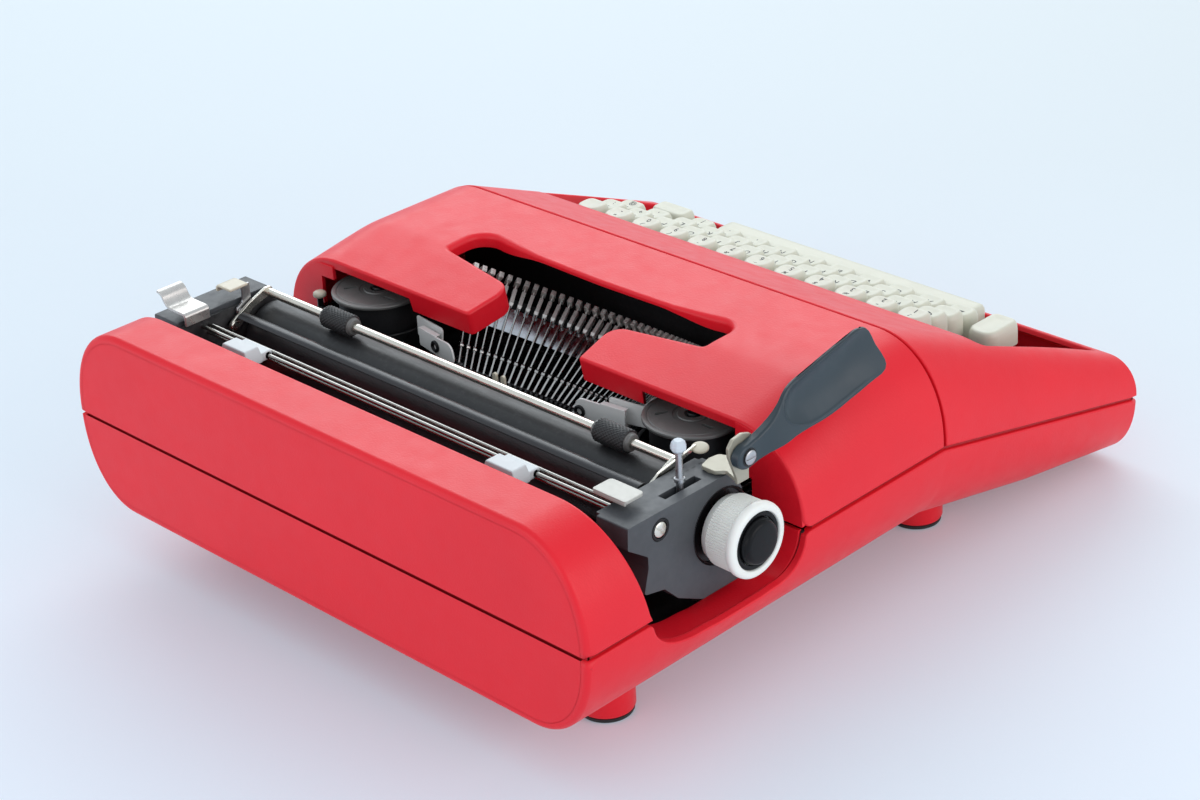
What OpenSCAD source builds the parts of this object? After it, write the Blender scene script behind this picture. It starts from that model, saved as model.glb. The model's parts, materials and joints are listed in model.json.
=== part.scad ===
// Manual typewriter, low portable desk model, typist side towards -Y.
// All pieces are drawn in a working frame whose zero is the casing's rear
// parting line; place() moves the whole machine onto its feet.

/* [Casing] */
// Width of the casing
body_w = 340; // [336:1:344]
// Height of the upper casing above the parting line
top_h = 49.5; // [48.5:0.5:50]
// Depth of the lower casing below the parting line
low_h = 45; // [44.5:0.5:46]
// Length of the straight part of the casing, rear face to keyboard joint
straight_l = 230; // [229:1:231]
// Overall length, rear face to front face
total_l = 385; // [383:1:387]
// Casing wall thickness
wall = 3; // [2.5:0.25:3]
// Width of the groove at the parting line
groove = 1.8; // [1.2:0.2:2.4]

/* [Feet] */
// Foot radius
foot_r = 13; // [11:0.5:14]
// Height of the floor below the parting line
floor_z = 73; // [72:0.5:75]

/* [Carriage] */
// Platen radius
platen_r = 17; // [16:0.25:17]
// Knob radius
knob_r = 16.5; // [15:0.5:17]
// Bail rod radius
bail_r = 2.2; // [1.8:0.1:2.4]
// Bail roller radius
bail_roller_r = 5.5; // [5:0.1:5.5]

/* [Keyboard] */
// Key pitch along a row
key_pitch = 19.5; // [19:0.1:19.7]
// Key cap width
key_w = 16.4; // [15:0.2:16.6]
// Key cap depth
key_d = 15.4; // [14:0.2:15.6]
// Key cap height
key_h = 12; // [10:0.5:12]

/* [Ribbon] */
// Ribbon spool radius
spool_r = 23.2; // [21:0.2:23.4]

/* [Hidden] */
$fn = 48;

hw = body_w / 2;
zg = groove / 2;
xc = 4;                       // centre of the works, slightly right of the casing's
py = -98;                     // platen axis
pz = 13;
front_zp = -36.2;             // parting line at the front face
front_zt = -17;               // top of the front face
fu_y = -62;                   // key lever fulcrum
fu_z = -28.5;
lev_x = -167;                 // plane of the return handle
hinge_y = -138;               // cover hinge axis
hinge_z = 7;
eps = 0.01;

// machine onto its feet, origin under the middle of its box
module place() { translate([3.6, total_l / 2, floor_z]) children(); }
// outline in (y, z) drawn out along X, centred or from x0 to x1
module alongx(x0, x1) { translate([x0, 0, 0]) rotate([90, 0, 90]) linear_extrude(x1 - x0) children(); }
// outline in (x, z) drawn out along Y from y0 down to y1
module alongy(y0, y1) { translate([0, y0, 0]) rotate([90, 0, 0]) linear_extrude(y0 - y1) children(); }
// cylinder along X
module rodx(x0, x1, r) { translate([x0, 0, 0]) rotate([0, 90, 0]) cylinder(r = r, h = x1 - x0); }
function ell(cx, cy, a, b, t0, t1, n = 10) = [for (i = [0:n]) let (t = t0 + (t1 - t0) * i / n) [cx + a * cos(t), cy + b * sin(t)]];
function upper(w, zp, zt, ca, n = 10) = concat(ell(w - ca, zp, ca, zt - zp, 0, 90, n), ell(ca - w, zp, ca, zt - zp, 90, 180, n));
function lower(w, zp, zb, cb, n = 10) = concat(ell(cb - w, zp, cb, zp - zb, 180, 270, n), ell(w - cb, zp, cb, zp - zb, 270, 360, n));
function rrect(w, d, r, n = 6) = concat(ell(w/2 - r, d/2 - r, r, r, 0, 90, n), ell(r - w/2, d/2 - r, r, r, 90, 180, n),
  ell(r - w/2, r - d/2, r, r, 180, 270, n), ell(w/2 - r, r - d/2, r, r, 270, 360, n));
// skin through outlines of equal length standing at the stations ys (front to back)
module loft(ys, rings) {
  n = len(rings[0]); m = len(ys);
  polyhedron(points = [for (i = [0:m - 1]) for (p = rings[i]) [p[0], ys[i], p[1]]],
    faces = concat([[for (j = [n - 1:-1:0]) j]], [[for (j = [0:n - 1]) (m - 1) * n + j]],
      [for (i = [0:m - 2]) for (j = [0:n - 1]) [i * n + j, i * n + (j + 1) % n, (i + 1) * n + (j + 1) % n]],
      [for (i = [0:m - 2]) for (j = [0:n - 1]) [i * n + j, (i + 1) * n + (j + 1) % n, (i + 1) * n + j]]));
}
// height of the parting line and of the underside at a station
function zpart(y) = y > -straight_l ? 0 : front_zp * (-straight_l - y) / (total_l - straight_l);
function zunder(y) = y > -straight_l ? -low_h : y > -313 ? -low_h - 15 * (-straight_l - y) / (313 - straight_l) : -low_h - 15 - 8.8 * (-313 - y) / (total_l - 313);
function zslope(y) = top_h + (front_zt - top_h) * (-straight_l - y) / (total_l - straight_l);

// ---------- casing ----------
red = [0.82, 0.06, 0.08];
ys_low = [-total_l, -313, -straight_l, 0];
module scoop_outline(d) polygon(concat([[-133.5 - d, 9]], ell(-118, 0, 15.5 + d, 21 + d, 180, 270), ell(-72, 0, 33.5 + d, 21 + d, 270, 360), [[-38.5 + d, 9]]));
module bottom_shell() color(red) difference() {
  union() { difference() { loft(ys_low, [for (i = [0:3]) lower(hw, zpart(ys_low[i]) - zg, zunder(ys_low[i]), [22, 28, 35, 35][i])]);
  loft([-total_l + wall, -313, -straight_l, -wall], [for (i = [0:3]) let (y = ys_low[i])
    concat(lower(hw - wall, zpart(y) - zg, zunder(y) + wall, [22, 28, 35, 35][i] - wall), [[hw - wall, zpart(y) + 30], [wall - hw, zpart(y) + 30]])]); }
    // troughs under the ends of the carriage
    for (s = [-1, 1]) alongx(s > 0 ? 148.5 : 2 - hw, s > 0 ? hw - 2 : -148.5) intersection() { scoop_outline(2.4); translate([-140, -40]) square([110, 40 - zg]); } }
  // scooped passage for the carriage through both side walls
  alongx(-hw - 5, hw + 5) scoop_outline(0);
}
module rear_cover() color(red) difference() {
  alongy(0, -38.4) polygon(upper(hw, zg, top_h, 40));
  alongy(-wall, -60) polygon(concat(upper(hw - wall, zg, top_h - wall, 37), [[wall - hw, -5], [hw - wall, -5]]));
  alongx(-hw - 5, hw + 5) polygon([[-38.6, -1], [-27.4, top_h + 1], [-70, top_h + 1], [-70, -1]]);
}
ys_key = [-total_l, -313, -straight_l - 0.9];
module keyboard_surround() color(red) difference() {
  loft(ys_key, [for (i = [0:2]) let (y = ys_key[i]) upper(hw, zpart(y) + zg, zslope(y), [17, 29.5, 40][i])]);
  loft([-total_l + 4, -313, -straight_l + 5], [for (i = [0:2]) let (y = [-total_l + 4, -313, -straight_l + 5][i])
    concat(upper(hw - wall, zpart(y) + zg, zslope(y) - wall, [14.5, 26.5, 37][i]), [[wall - hw, zpart(y) - 40], [hw - wall, zpart(y) - 40]])]);
  // key well
  translate([0, -332, -60]) linear_extrude(130) polygon(rrect(296, 97, 5));
}
module foot_prism() alongx(-200, 200) polygon([[10, -low_h], [-straight_l, -low_h], [-313, zunder(-313)], [-313, -90], [10, -90]]);
module at_feet() { for (x = [-120, 120]) for (y = [-58, -273]) translate([x, y, 0]) children(); }
module feet() color(red) intersection() { at_feet() translate([0, 0, -floor_z + 2]) cylinder(r = foot_r, h = floor_z - 40); foot_prism(); }
module foot_pads() color([0.05, 0.05, 0.05]) at_feet() translate([0, 0, -floor_z]) cylinder(r = foot_r - 0.6, h = 2);
module shell_screws() color("silver") for (x = [-70, 70]) for (y = [-30, -200]) translate([x, y, -low_h - 1.6]) difference() {
  cylinder(r = 3.6, h = 1.6); translate([-4, -0.5, -0.4]) cube([8, 1, 1]); }
module cover_block(d) difference() {
  alongy(-132, -straight_l + 0.9) polygon(upper(hw - d, zg - (d > 0 ? 6 : 0), top_h - d, 40 - d));
  alongx(-hw - 5, hw + 5) polygon([[-170, top_h - d], [-131, 41.8 - d], [-131, 60], [-170, 60]]);
}
module top_cover() color(red) union() {
  difference() {
    cover_block(0);
    difference() { cover_block(wall);
      // rear lips of the two tongues
      for (s = [-1, 1]) translate([xc - 3 + s * 58 - 20, -134.5, 30]) cube([40, 6, 20]); }
    // lips end above the spools
    translate([-hw, -140, 0]) cube([body_w, 12, 33]);
    // type window: wide front part and the neck between the tongues
    translate([0, 0, 20]) linear_extrude(60) polygon(concat([[36, -120], [36, -150]], ell(42, -151, 6, 6, 180, 260, 5), [[78, -165]],
      ell(83, -174, 9, 9, 90, 0, 5), ell(83, -185, 9, 9, 0, -90, 5), ell(-74, -185, 9, 9, 270, 180, 5), ell(-74, -174, 9, 9, 180, 90, 5), [[-70, -165]],
      ell(-44, -151, 6, 6, 280, 360, 5), [[-38, -150], [-38, -120]]));
    // skirt corner rounded about the hinge
    alongx(-hw - 5, hw + 5) difference() { polygon([[hinge_y, -1], [hinge_y + 9, -1], [hinge_y + 9, hinge_z], [hinge_y, hinge_z]]); translate([hinge_y, hinge_z]) circle(r = 6); }
    // side skirts reach down behind the cut for the spools
  }
  // closing walls beside the passage
  for (w = [[-168, 36.5, 16], [-168, 19.5, 2], [143, 25, 16], [134, 12, 31], [148.5, 19.5, 2]]) intersection() { cover_block(0); translate([w[0], -134.2, w[2]]) cube([w[1], 1.9, 38 - w[2]]); }
  // skirts and hinge ears
  for (s = [-1, 1]) difference() {
    union() {
      intersection() { difference() { cover_block(0); cover_block(wall); } translate([s > 0 ? 150 : -hw, -140, 0]) cube([20, 12, 40]);
        alongx(-hw - 5, hw + 5) union() { polygon([[-140, -1], [hinge_y, -1], [hinge_y, hinge_z], [-131, hinge_z], [-131, 50], [-140, 50]]); translate([hinge_y, hinge_z]) circle(r = 6); } }
      translate([0, hinge_y, hinge_z]) rodx(s > 0 ? 158 : -167.5, s > 0 ? 167.5 : -158, 5);
    }
    translate([0, hinge_y, hinge_z]) rodx(s > 0 ? 150 : -165, s > 0 ? 165 : -150, 2.05);
  }
}
module hinge_pins() color("silver") for (s = [-1, 1]) translate([0, hinge_y, hinge_z]) rodx(s > 0 ? 147 : -164.5, s > 0 ? 164.5 : -147, 2);

// ---------- chassis ----------
module base_frame() color([0.12, 0.12, 0.13]) union() {
  for (s = [-1, 1]) alongx(s * 146 - 1, s * 146 + 1) polygon([[-45, -33], [-45, -24.6], [-126, -24.6], [-134, 12], [-150, 14], [-218, 2], [-224, -33]]);
  for (b = [[-53, -47, -33, -24], [-152, -141, -24.5, -21.5], [-170, -159, -25, -22], [-224, -219, -24, -12]]) translate([-145.5, b[0], b[2]]) cube([291, b[1] - b[0], b[3] - b[2]]);
}
module carriage_rail() color("silver") alongx(-145, 145) polygon([[-96, -25.6], [-96, -19.3], [-100, -19.3], [-100, -17.6], [-88, -17.6], [-88, -19.3], [-92, -19.3], [-92, -25.6]]);
module fulcrum_rod() color("silver") translate([0, fu_y, fu_z]) rodx(-145, 145, 2);
// The typebars stand on a segment whose plane leans towards the typist. Each bar swings in
// a plane through the printing point, from its rest up to that point.
bar_pitch = 3.2;
bar_t = [for (i = [-20:20]) if (i != 0) i * bar_pitch];
bar_l = 58;                   // pivot to printing point
bar_lean = 33;                // lean of the segment plane
bar_swing = 119;              // rest to print
seg_s = [xc, -118.5, 15.5];   // printing point
seg_p = [xc, -118.5 - bar_l * cos(bar_lean), 15.5 - bar_l * sin(bar_lean)]; // middle pivot
module segment_frame() translate(seg_s) rotate([bar_lean, 0, 0]) children();
module bar_frame(t) segment_frame() rotate([0, 0, t]) translate([0, -bar_l, 0]) rotate([bar_swing, 0, 0]) children();
module bar(w, sw, cut0) { translate([-w / 2, cut0, -1.5]) cube([w, bar_l - cut0, 3]); translate([-sw / 2, bar_l - 3, -5]) cube([sw, 3, 6]); }
module typebars() color("silver") for (t = bar_t) bar_frame(t) union() bar(0.9, 1.4, 3.2);
// clearance line under the resting bars, in the segment's frame
function under(z) = bar_l + 1.7 + 0.554 * z;
module type_segment() color([0.35, 0.35, 0.37]) { translate(seg_p) rodx(-1.5, 1.5, 0.85); difference() {
  union() {
    segment_frame() translate([0, 0, -4]) linear_extrude(8) polygon(concat([for (i = [-22:22]) 62 * [sin(i * 3.1), -cos(i * 3.1)]], [for (i = [22:-1:-22]) 50 * [sin(i * 3.1), -cos(i * 3.1)]]));
    for (s = [-1, 1]) translate([xc + s * 22.4 - 2.3, -168, -22]) cube([4.6, 8, 9]);
  }
  for (t = concat(bar_t, [0])) bar_frame(t) translate([-0.7, -3.4, -40]) cube([1.4, 90, 44]);
  segment_frame() translate([-0.7, -60, -2.2]) cube([1.4, 12, 8]);
} }
module type_rest() color([0.05, 0.05, 0.05]) union() {
  segment_frame() rotate([0, 0, -155]) rotate_extrude(angle = 130) polygon([[under(28) + 0.5, 28], [under(42) + 0.5, 42], [under(42) + 4.5, 42], [under(42) + 4.5, 38.5], [under(38) + 2, 38], [under(28) + 2, 28]]);
  translate([xc - 14, -222, -12]) cube([28, 11, 13]);
}
spool_x = [-98, 112]; spool_y = -142;
module spool_cups() color([0.06, 0.06, 0.06]) for (x = spool_x) translate([x, spool_y, 0]) union() {
  difference() { translate([0, 0, 4]) cylinder(r = spool_r + 3, h = 12); translate([0, 0, 5.5]) cylinder(r = spool_r + 1.5, h = 20); }
  cylinder(r = 3, h = 31);
  translate([-7, -9, -21.5]) cube([14, 12, 26]);
}
module spool(x) translate([x, spool_y, 0]) difference() {
  union() { translate([0, 0, 8]) cylinder(r = spool_r, h = 1.4); translate([0, 0, 8]) cylinder(r = 17, h = 20); translate([0, 0, 28]) cylinder(r = spool_r, h = 2); }
  translate([0, 0, 5]) cylinder(r = 3.05, h = 40);
}
module ribbon_spool_left() color([0.2, 0.2, 0.21]) spool(spool_x[0]);
module ribbon_spool_right() color([0.2, 0.2, 0.21]) spool(spool_x[1]);
module ribbon_guides() color("silver") for (s = [-1, 1]) union() {
  translate([xc + s * 52, -129.5, 0]) rotate([0, 0, s * -8]) { translate([-15, -0.8, 14]) cube([30, 1.6, 11]); translate([-s * 15, 0, -21.5]) translate([-1.5, -3, 0]) cube([3, 3.8, 36]); }
  translate([xc + s * 37.2, -143, -21.5]) translate([-1.5, 0, 0]) cube([3, 12.5, 3]);
}
module ribbon_vibrator() color([0.9, 0.87, 0.78]) translate([xc, -120.5, 0]) { for (s = [-1, 1]) translate([s * 3.7 - 1.3, -0.8, -7]) cube([2.6, 1.6, 32]); translate([-9, -0.8, -16]) cube([18, 1.6, 9.5]); }
module ribbon_switch() color([0.9, 0.87, 0.8]) translate([138, -125.7, 0]) union() { translate([0, 0, -20]) cylinder(r = 1.5, h = 44); translate([0, 0, 23.5]) cylinder(r = 3.4, h = 3); }
module spring_drum() color("silver") translate([135, -80, 0]) union() { translate([0, 0, -38]) cylinder(r = 9, h = 12); translate([0, 0, -40.5]) cylinder(r = 2, h = 17); }

// ---------- keyboard ----------
row_y = [-293, -312, -331, -350];
row_z = [24, 16, 8, 0];
row_x = [-101.3, -96.4, -91.6, -86.7];
row_n = [12, 12, 12, 10];
strike_i = 5;
function kx(r, i) = row_x[r] + key_pitch * i;
module cap(x, y, z, w = key_w, d = key_d) translate([x, y, z - key_h]) linear_extrude(key_h) polygon(rrect(w, d, 3.5));
module lever(x, y, z) { // bar to the fulcrum and stem up to the cap
  difference() { translate([x - 0.8, y - 3, fu_z - 2.5]) cube([1.6, fu_y - y + 7, 5]); translate([0, fu_y, fu_z]) rodx(x - 2, x + 2, 2.05); }
  translate([x - 0.8, y - 3, fu_z]) cube([1.6, 6, z - key_h - fu_z]);
}
keys_1 = [for (i = [0:10]) i]; keys_2 = [for (i = [0:11]) i]; keys_3 = [for (i = [1:11]) if (i != strike_i) i]; keys_4 = [for (i = [0:9]) i];
module caps(r, ks) color([0.93, 0.91, 0.84]) for (i = ks) cap(kx(r, i), row_y[r], row_z[r]);
module levers(r, ks) color("silver") for (i = ks) lever(kx(r, i), row_y[r], row_z[r]);
module key_row_1() caps(0, keys_1);
module key_row_2() caps(1, keys_2);
module key_row_3() caps(2, keys_3);
module key_row_4() caps(3, keys_4);
module key_levers_1() levers(0, keys_1);
module key_levers_2() levers(1, keys_2);
module key_levers_3() levers(2, keys_3);
module key_levers_4() levers(3, keys_4);
module one_key(x, y, z, w = key_w, d = key_d, off = 0) color([0.93, 0.91, 0.84]) union() { cap(x, y, z, w, d); lever(x + off, y, z + 0.5); }
module strike_key() one_key(kx(2, strike_i), row_y[2], row_z[2]);
module backspace_key() one_key(kx(0, 11), row_y[0], row_z[0]);
module shift_lock_key() one_key(kx(2, 0), row_y[2], row_z[2]);
module shift_key_left() one_key(-111, -344, 2, 17, 26);
module shift_key_right() one_key(112.5, -354, 1, 25, 13.6, -3.5);
module space_bar() color([0.93, 0.91, 0.84]) union() {
  translate([4, -370.5, -18]) linear_extrude(10) polygon(rrect(174, 16, 4));
  for (x = [-64.5, 72]) lever(x, -370, -5.5);
}
module strike_typebar() color("silver") difference() { union() { bar_frame(0) bar(1, 2, 0); translate(seg_p) rodx(-0.5, 0.5, 2.2); } translate(seg_p) rodx(-2, 2, 0.9); }

// ---------- carriage ----------
dark = [0.2, 0.22, 0.24];
exl = -136; exr = 146;        // outer faces of the carriage end plates
// section of the passage for the rail
module rail_slot() { translate([-100.4, -19.6]) square([12.8, 2.4]); translate([-96.5, -30]) square([5, 11]); }
module end_plate(x) alongx(x, x + 2) difference() {
  polygon([[-46, 34], [-46, 20], [-52, -4], [-66, -8], [-108, -19], [-111, -19], [-115, -8], [-115, 2], [-109, 20], [-104, 32], [-70, 34]]);
  translate([py, pz]) circle(r = 4.05);
  translate([-74, 26]) circle(r = 1.55);
  translate([-111.7, -3.3]) circle(r = 1.55);
  translate([-80, 31]) circle(r = 1.55);
  rail_slot();
}
module carriage_frame() color(dark) union() {
  end_plate(exl); end_plate(exr - 2);
  alongx(exl + 1, exr - 1) difference() { translate([-104, -20.5]) square([20, 12.5]); rail_slot(); }
}
cap_side = [[-42, 36], [-41.5, 26], [-53, 18], [-53, 12.5], [-50, 1], [-62, -1.5], [-70, -9.5], [-85, -17], [-108, -17], [-113, -8], [-111, 26], [-106, 36]];
module end_cap_left() color(dark) difference() {
  union() { alongx(-154, -136.2) polygon(cap_side); translate([-136.4, -104, 34.3]) cube([2.6, 60, 1.7]); }
  translate([0, py, pz]) rodx(-160, -130, 4.05);
  // hollow behind the knob
  translate([0, py, pz]) rodx(-160, -151, knob_r + 1.2);
  // pivot of the return arm
  translate([-147, -101, 24]) cylinder(r = 3.05, h = 20);
  // slot of the selector
  translate([-148.6, -92, 30]) cube([4.2, 22, 10]);
}
module end_cap_right() color(dark) difference() {
  alongx(146.2, 164) polygon([[-45, 36], [-45, 26], [-54, 16], [-54, 2], [-70, -9], [-85, -17], [-104, -17], [-108, -8], [-107, 26], [-101, 36]]);
  translate([0, py, pz]) rodx(140, 158, 4.05);
}
module platen() color([0.08, 0.08, 0.085]) translate([0, py, pz]) difference() { rodx(-128, 142, platen_r); rodx(-140, 150, 4); }
module platen_core() color("silver") translate([0, py, pz]) union() {
  rodx(-167.5, 157, 4);
  translate([-133.4, 0, 0]) rotate([90, 0, 90]) linear_extrude(2.6) polygon([for (i = [0:47]) let (r = i % 2 == 0 ? 15.5 : 13.5) [r * cos(i * 7.5), r * sin(i * 7.5)]]);
}
module platen_knob() color([0.93, 0.92, 0.88]) translate([0, py, pz]) difference() {
  union() {
    for (i = [0:59]) rotate([i * 6, 0, 0]) translate([-171, -0.45, 14]) cube([12, 0.9, knob_r - 14]);
    rodx(-174.5, -171, knob_r + 0.7); rodx(-171, -159, knob_r - 0.7); rodx(-159, -155.5, knob_r);
  }
  rodx(-176, -168, 10.9); rodx(-170, -150, 4);
}
module knob_button() color([0.05, 0.05, 0.05]) translate([0, py, pz]) rotate([0, 90, 0]) rotate_extrude() polygon([[0, -177.2], [8.6, -177.2], [9.6, -176.6], [10, -175.2], [10.6, -174.8], [10.6, -171.4], [0, -171.4]]);
module paper_table() color([0.06, 0.06, 0.065]) alongx(-127, 139) polygon(concat(ell(py, pz, 18.6, 18.6, 285, 402, 16), [[-83, 28.8], [-81, 31], [-78.4, 31.8], [-76, 31.4], [-74.8, 29.8], [-76, 29.4], [-76.8, 30.4], [-78.6, 30.6], [-80.4, 29.8], [-81.8, 27.6]], ell(py, pz, 20, 20, 400, 285, 16)));
module feed_rollers() color([0.1, 0.1, 0.1]) translate([0, -111.7, -3.3]) union() { rodx(-135.5, 145.5, 1.5); for (x = [-100, -35, 30, 95]) rodx(x, x + 22, 4); }
module margin_rail() color("silver") { translate([0, -62, 30.5]) rodx(-134, 144, 0.8); translate([0, -58.2, 30.5]) rodx(-134, 144, 1); translate([0, -60.7, 26.5]) rodx(-134, 144, 0.8); }
module stop(x) color([0.93, 0.93, 0.92]) difference() { union() { translate([x - 10, -60.6, 28.2]) cube([20, 7.1, 4.8]); translate([x - 10, -54.5, 28.2]) cube([20, 9.5, 8]); } translate([0, -58.2, 30.5]) rodx(x - 20, x + 20, 1.05); }
module margin_stop_left() stop(-75);
module margin_stop_right() stop(104);
bail_y = -96.6; bail_z = 36;
module paper_bail() color("silver") union() {
  translate([0, bail_y, bail_z]) rodx(-131, 141, bail_r);
  for (x = [-131.2, 139.6]) {
    alongx(x, x + 1.6) polygon([[bail_y - 2.8, bail_z - 1], [bail_y - 1.6, bail_z + 2.8], [-94.4, 39], [-84, 34.8], [-72.6, 28.6], [-71.2, 26], [-73, 23.2], [-75.4, 23.4], [-85.6, 31.2], [-94, 33.8]]);
    translate([0, -74, 26]) rodx(x < 0 ? exl + 0.3 : x, x < 0 ? x + 1 : exr - 0.3, 1.5);
  }
}
module bail_roller(x) color([0.07, 0.07, 0.07]) translate([0, bail_y, bail_z]) difference() { union() { rodx(x - 9, x + 9, bail_roller_r); rodx(x - 11, x + 11, 4); } rodx(x - 20, x + 20, bail_r + 0.05); }
roller_x = [-94, 87];
module bail_roller_left() bail_roller(roller_x[0]);
module bail_roller_right() bail_roller(roller_x[1]);
module return_arm() color([0.85, 0.82, 0.75]) difference() {
  union() {
    translate([-147, -101, 26]) cylinder(r = 3, h = 10.5);
    translate([0, 0, 36.4]) linear_extrude(1.8) polygon([[-164, -104.5], [-157.3, -107.6], [-146, -111.6], [-142, -110], [-141, -104.5], [-143, -97.5], [-151, -97.5], [-154.5, -101], [-164, -97.5]]);
    alongx(-164, -162.2) polygon([[-97.3, 36.4], [-97, 39.4], [-92.4, 51], [-92.2, 55], [-95, 58.2], [-101, 59], [-106, 57.6], [-110, 53.5], [-108.5, 46], [-104.5, 41], [-104.5, 36.4]]);
  }
  translate([0, -102, 48.7]) rodx(-170, -155, 2);
}
module return_handle() color(dark) difference() {
  alongx(-168.6, -164) polygon(concat(ell(-103, 49.5, 7.5, 7, 20, 110, 5), [[-120, 63.5], [-134, 73], [-148, 77]], ell(-174, 72, 9, 8.6, 80, 180, 5), [[-187.5, 63]], ell(-184, 60.5, 4.2, 4.2, 190, 290, 4), [[-158, 51.8], [-128, 50.2]], ell(-103, 49.5, 7.5, 7, 260, 370, 5)));
  translate([0, -102, 48.7]) rodx(-170, -160, 2);
}
module lever_screw() color("silver") translate([0, -102, 48.7]) difference() { union() { rodx(-170, -168.6, 4.2); rodx(-169, -162, 2); } translate([-170.5, -5, -0.5]) cube([0.9, 10, 1]); }
module line_space_selector() color("silver") union() { translate([-146.5, -81, 31]) cylinder(r = 1.6, h = 19); translate([-146.5, -81, 49.5]) cylinder(r = 3.8, h = 6); }
module ratchet_release() color("silver") union() {
  translate([0, -80, 31]) rodx(exl + 0.3, -131.8, 1.5);
  alongx(-133.4, -131.8) polygon([[-78, 29.5], [-78, 34], [-82, 37.5], [-106, 44], [-107, 41.5], [-83, 34], [-81.5, 29]]);
  translate([-134.5, -107, 41.7]) rotate([-14, 0, 0]) cylinder(r = 4.2, h = 1.6);
}
module paper_release() color([0.9, 0.87, 0.78]) union() {
  translate([0, -80, 31]) rodx(141.8, exr - 0.3, 1.5);
  alongx(141.8, 143.4) polygon([[-77.5, 29], [-77.5, 33], [-82, 35.5], [-82, 44.2], [-87, 44.2], [-87, 30.5], [-85.5, 29]]);
  translate([141.8, -86, 42.6]) cube([11.6, 11, 1.6]);
}
module carriage_release_left() color([0.85, 0.84, 0.8]) union() { translate([-134.8, -56.6, 39.6]) linear_extrude(1.6) polygon(rrect(19.4, 11.8, 2)); translate([-144, -52.2, 38.8]) cube([18, 1.4, 1.6]); translate([-132.2, -62.4, 37]) cube([1.6, 9, 3]); }
module carriage_release_right() color("silver") union() {
  // flat plate with a fold at its inner end, curled up at its outer end
  alongy(-47.6, -62) polygon([[142.2, 34.3], [143.6, 34.3], [143.6, 39.6], [154.6, 39.6], [157.4, 40.6], [159.4, 43], [160.6, 45.4], [162, 46.2], [163.6, 46.3], [163.6, 47.7], [161.6, 47.6],
    [159.4, 46.4], [158, 43.6], [156.4, 41.6], [154.4, 41], [142.2, 41]]);
}

place() bottom_shell();
place() rear_cover();
place() keyboard_surround();
place() feet();
place() foot_pads();
place() base_frame();
place() carriage_rail();
place() type_segment();
place() typebars();
place() type_rest();
place() spool_cups();
place() ribbon_guides();
place() fulcrum_rod();
place() shell_screws();
place() hinge_pins();
place() top_cover();
place() ribbon_spool_left();
place() ribbon_spool_right();
place() ribbon_vibrator();
place() ribbon_switch();
place() strike_typebar();
place() strike_key();
place() key_row_1();
place() key_levers_1();
place() key_row_2();
place() key_levers_2();
place() key_row_3();
place() key_levers_3();
place() key_row_4();
place() key_levers_4();
place() space_bar();
place() shift_key_left();
place() shift_key_right();
place() shift_lock_key();
place() backspace_key();
place() spring_drum();
place() carriage_frame();
place() end_cap_left();
place() end_cap_right();
place() platen();
place() platen_core();
place() platen_knob();
place() knob_button();
place() paper_table();
place() feed_rollers();
place() margin_rail();
place() margin_stop_left();
place() margin_stop_right();
place() paper_bail();
place() bail_roller_left();
place() bail_roller_right();
place() return_arm();
place() return_handle();
place() lever_screw();
place() line_space_selector();
place() ratchet_release();
place() paper_release();
place() carriage_release_left();
place() carriage_release_right();
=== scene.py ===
"""Low manual typewriter in a red casing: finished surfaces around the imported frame."""
import json
import math
import bpy
import bmesh
from mathutils import Vector, Matrix
from mathutils.geometry import delaunay_2d_cdt

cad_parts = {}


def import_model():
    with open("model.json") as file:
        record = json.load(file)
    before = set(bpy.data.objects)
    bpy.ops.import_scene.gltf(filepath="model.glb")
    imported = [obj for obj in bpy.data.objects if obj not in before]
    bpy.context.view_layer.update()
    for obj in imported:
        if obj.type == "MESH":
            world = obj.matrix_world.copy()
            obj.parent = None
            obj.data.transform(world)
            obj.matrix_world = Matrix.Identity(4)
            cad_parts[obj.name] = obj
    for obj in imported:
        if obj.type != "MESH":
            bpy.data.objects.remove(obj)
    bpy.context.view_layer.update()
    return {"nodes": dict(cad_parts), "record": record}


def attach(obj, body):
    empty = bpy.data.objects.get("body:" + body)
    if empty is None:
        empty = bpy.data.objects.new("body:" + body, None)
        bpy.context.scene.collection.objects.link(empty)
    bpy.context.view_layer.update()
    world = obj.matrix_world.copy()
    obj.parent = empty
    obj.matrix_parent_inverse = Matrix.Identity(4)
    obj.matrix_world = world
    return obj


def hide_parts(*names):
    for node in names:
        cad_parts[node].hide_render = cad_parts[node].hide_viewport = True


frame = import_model()
pi = math.pi

# ------------------------------------------------------------------ frame
# working frame in mm: X to the typist's right, Y to the rear (rear face 0),
# Z up from the rear parting line
OX, OY, OZ = 3.6, 192.5, 73.0


def P(x, y, z):
    return Vector(((x + OX) / 1000.0, (y + OY) / 1000.0, (z + OZ) / 1000.0))


HW = 170.0          # half width of the casing
TOP = 49.5          # height above the parting line
LOW = 45.0
LEN = 385.0
STR = 230.0         # straight length
ZG = 0.9            # half groove
XC = 4.0            # centre of the works
PY, PZ, PR = -98.0, 13.0, 17.0


# ------------------------------------------------------------------ materials
def _mat(name):
    m = bpy.data.materials.new(name)
    m.use_nodes = True
    nt = m.node_tree
    b = nt.nodes["Principled BSDF"]
    tc = nt.nodes.new("ShaderNodeTexCoord")
    return m, nt, b, tc.outputs["Object"]


def _noise(nt, vec, scale, detail=3.0, rough=0.55, dist=0.0):
    n = nt.nodes.new("ShaderNodeTexNoise")
    n.inputs["Scale"].default_value = scale
    n.inputs["Detail"].default_value = detail
    n.inputs["Roughness"].default_value = rough
    n.inputs["Distortion"].default_value = dist
    nt.links.new(vec, n.inputs["Vector"])
    return n.outputs["Fac"]


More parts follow.
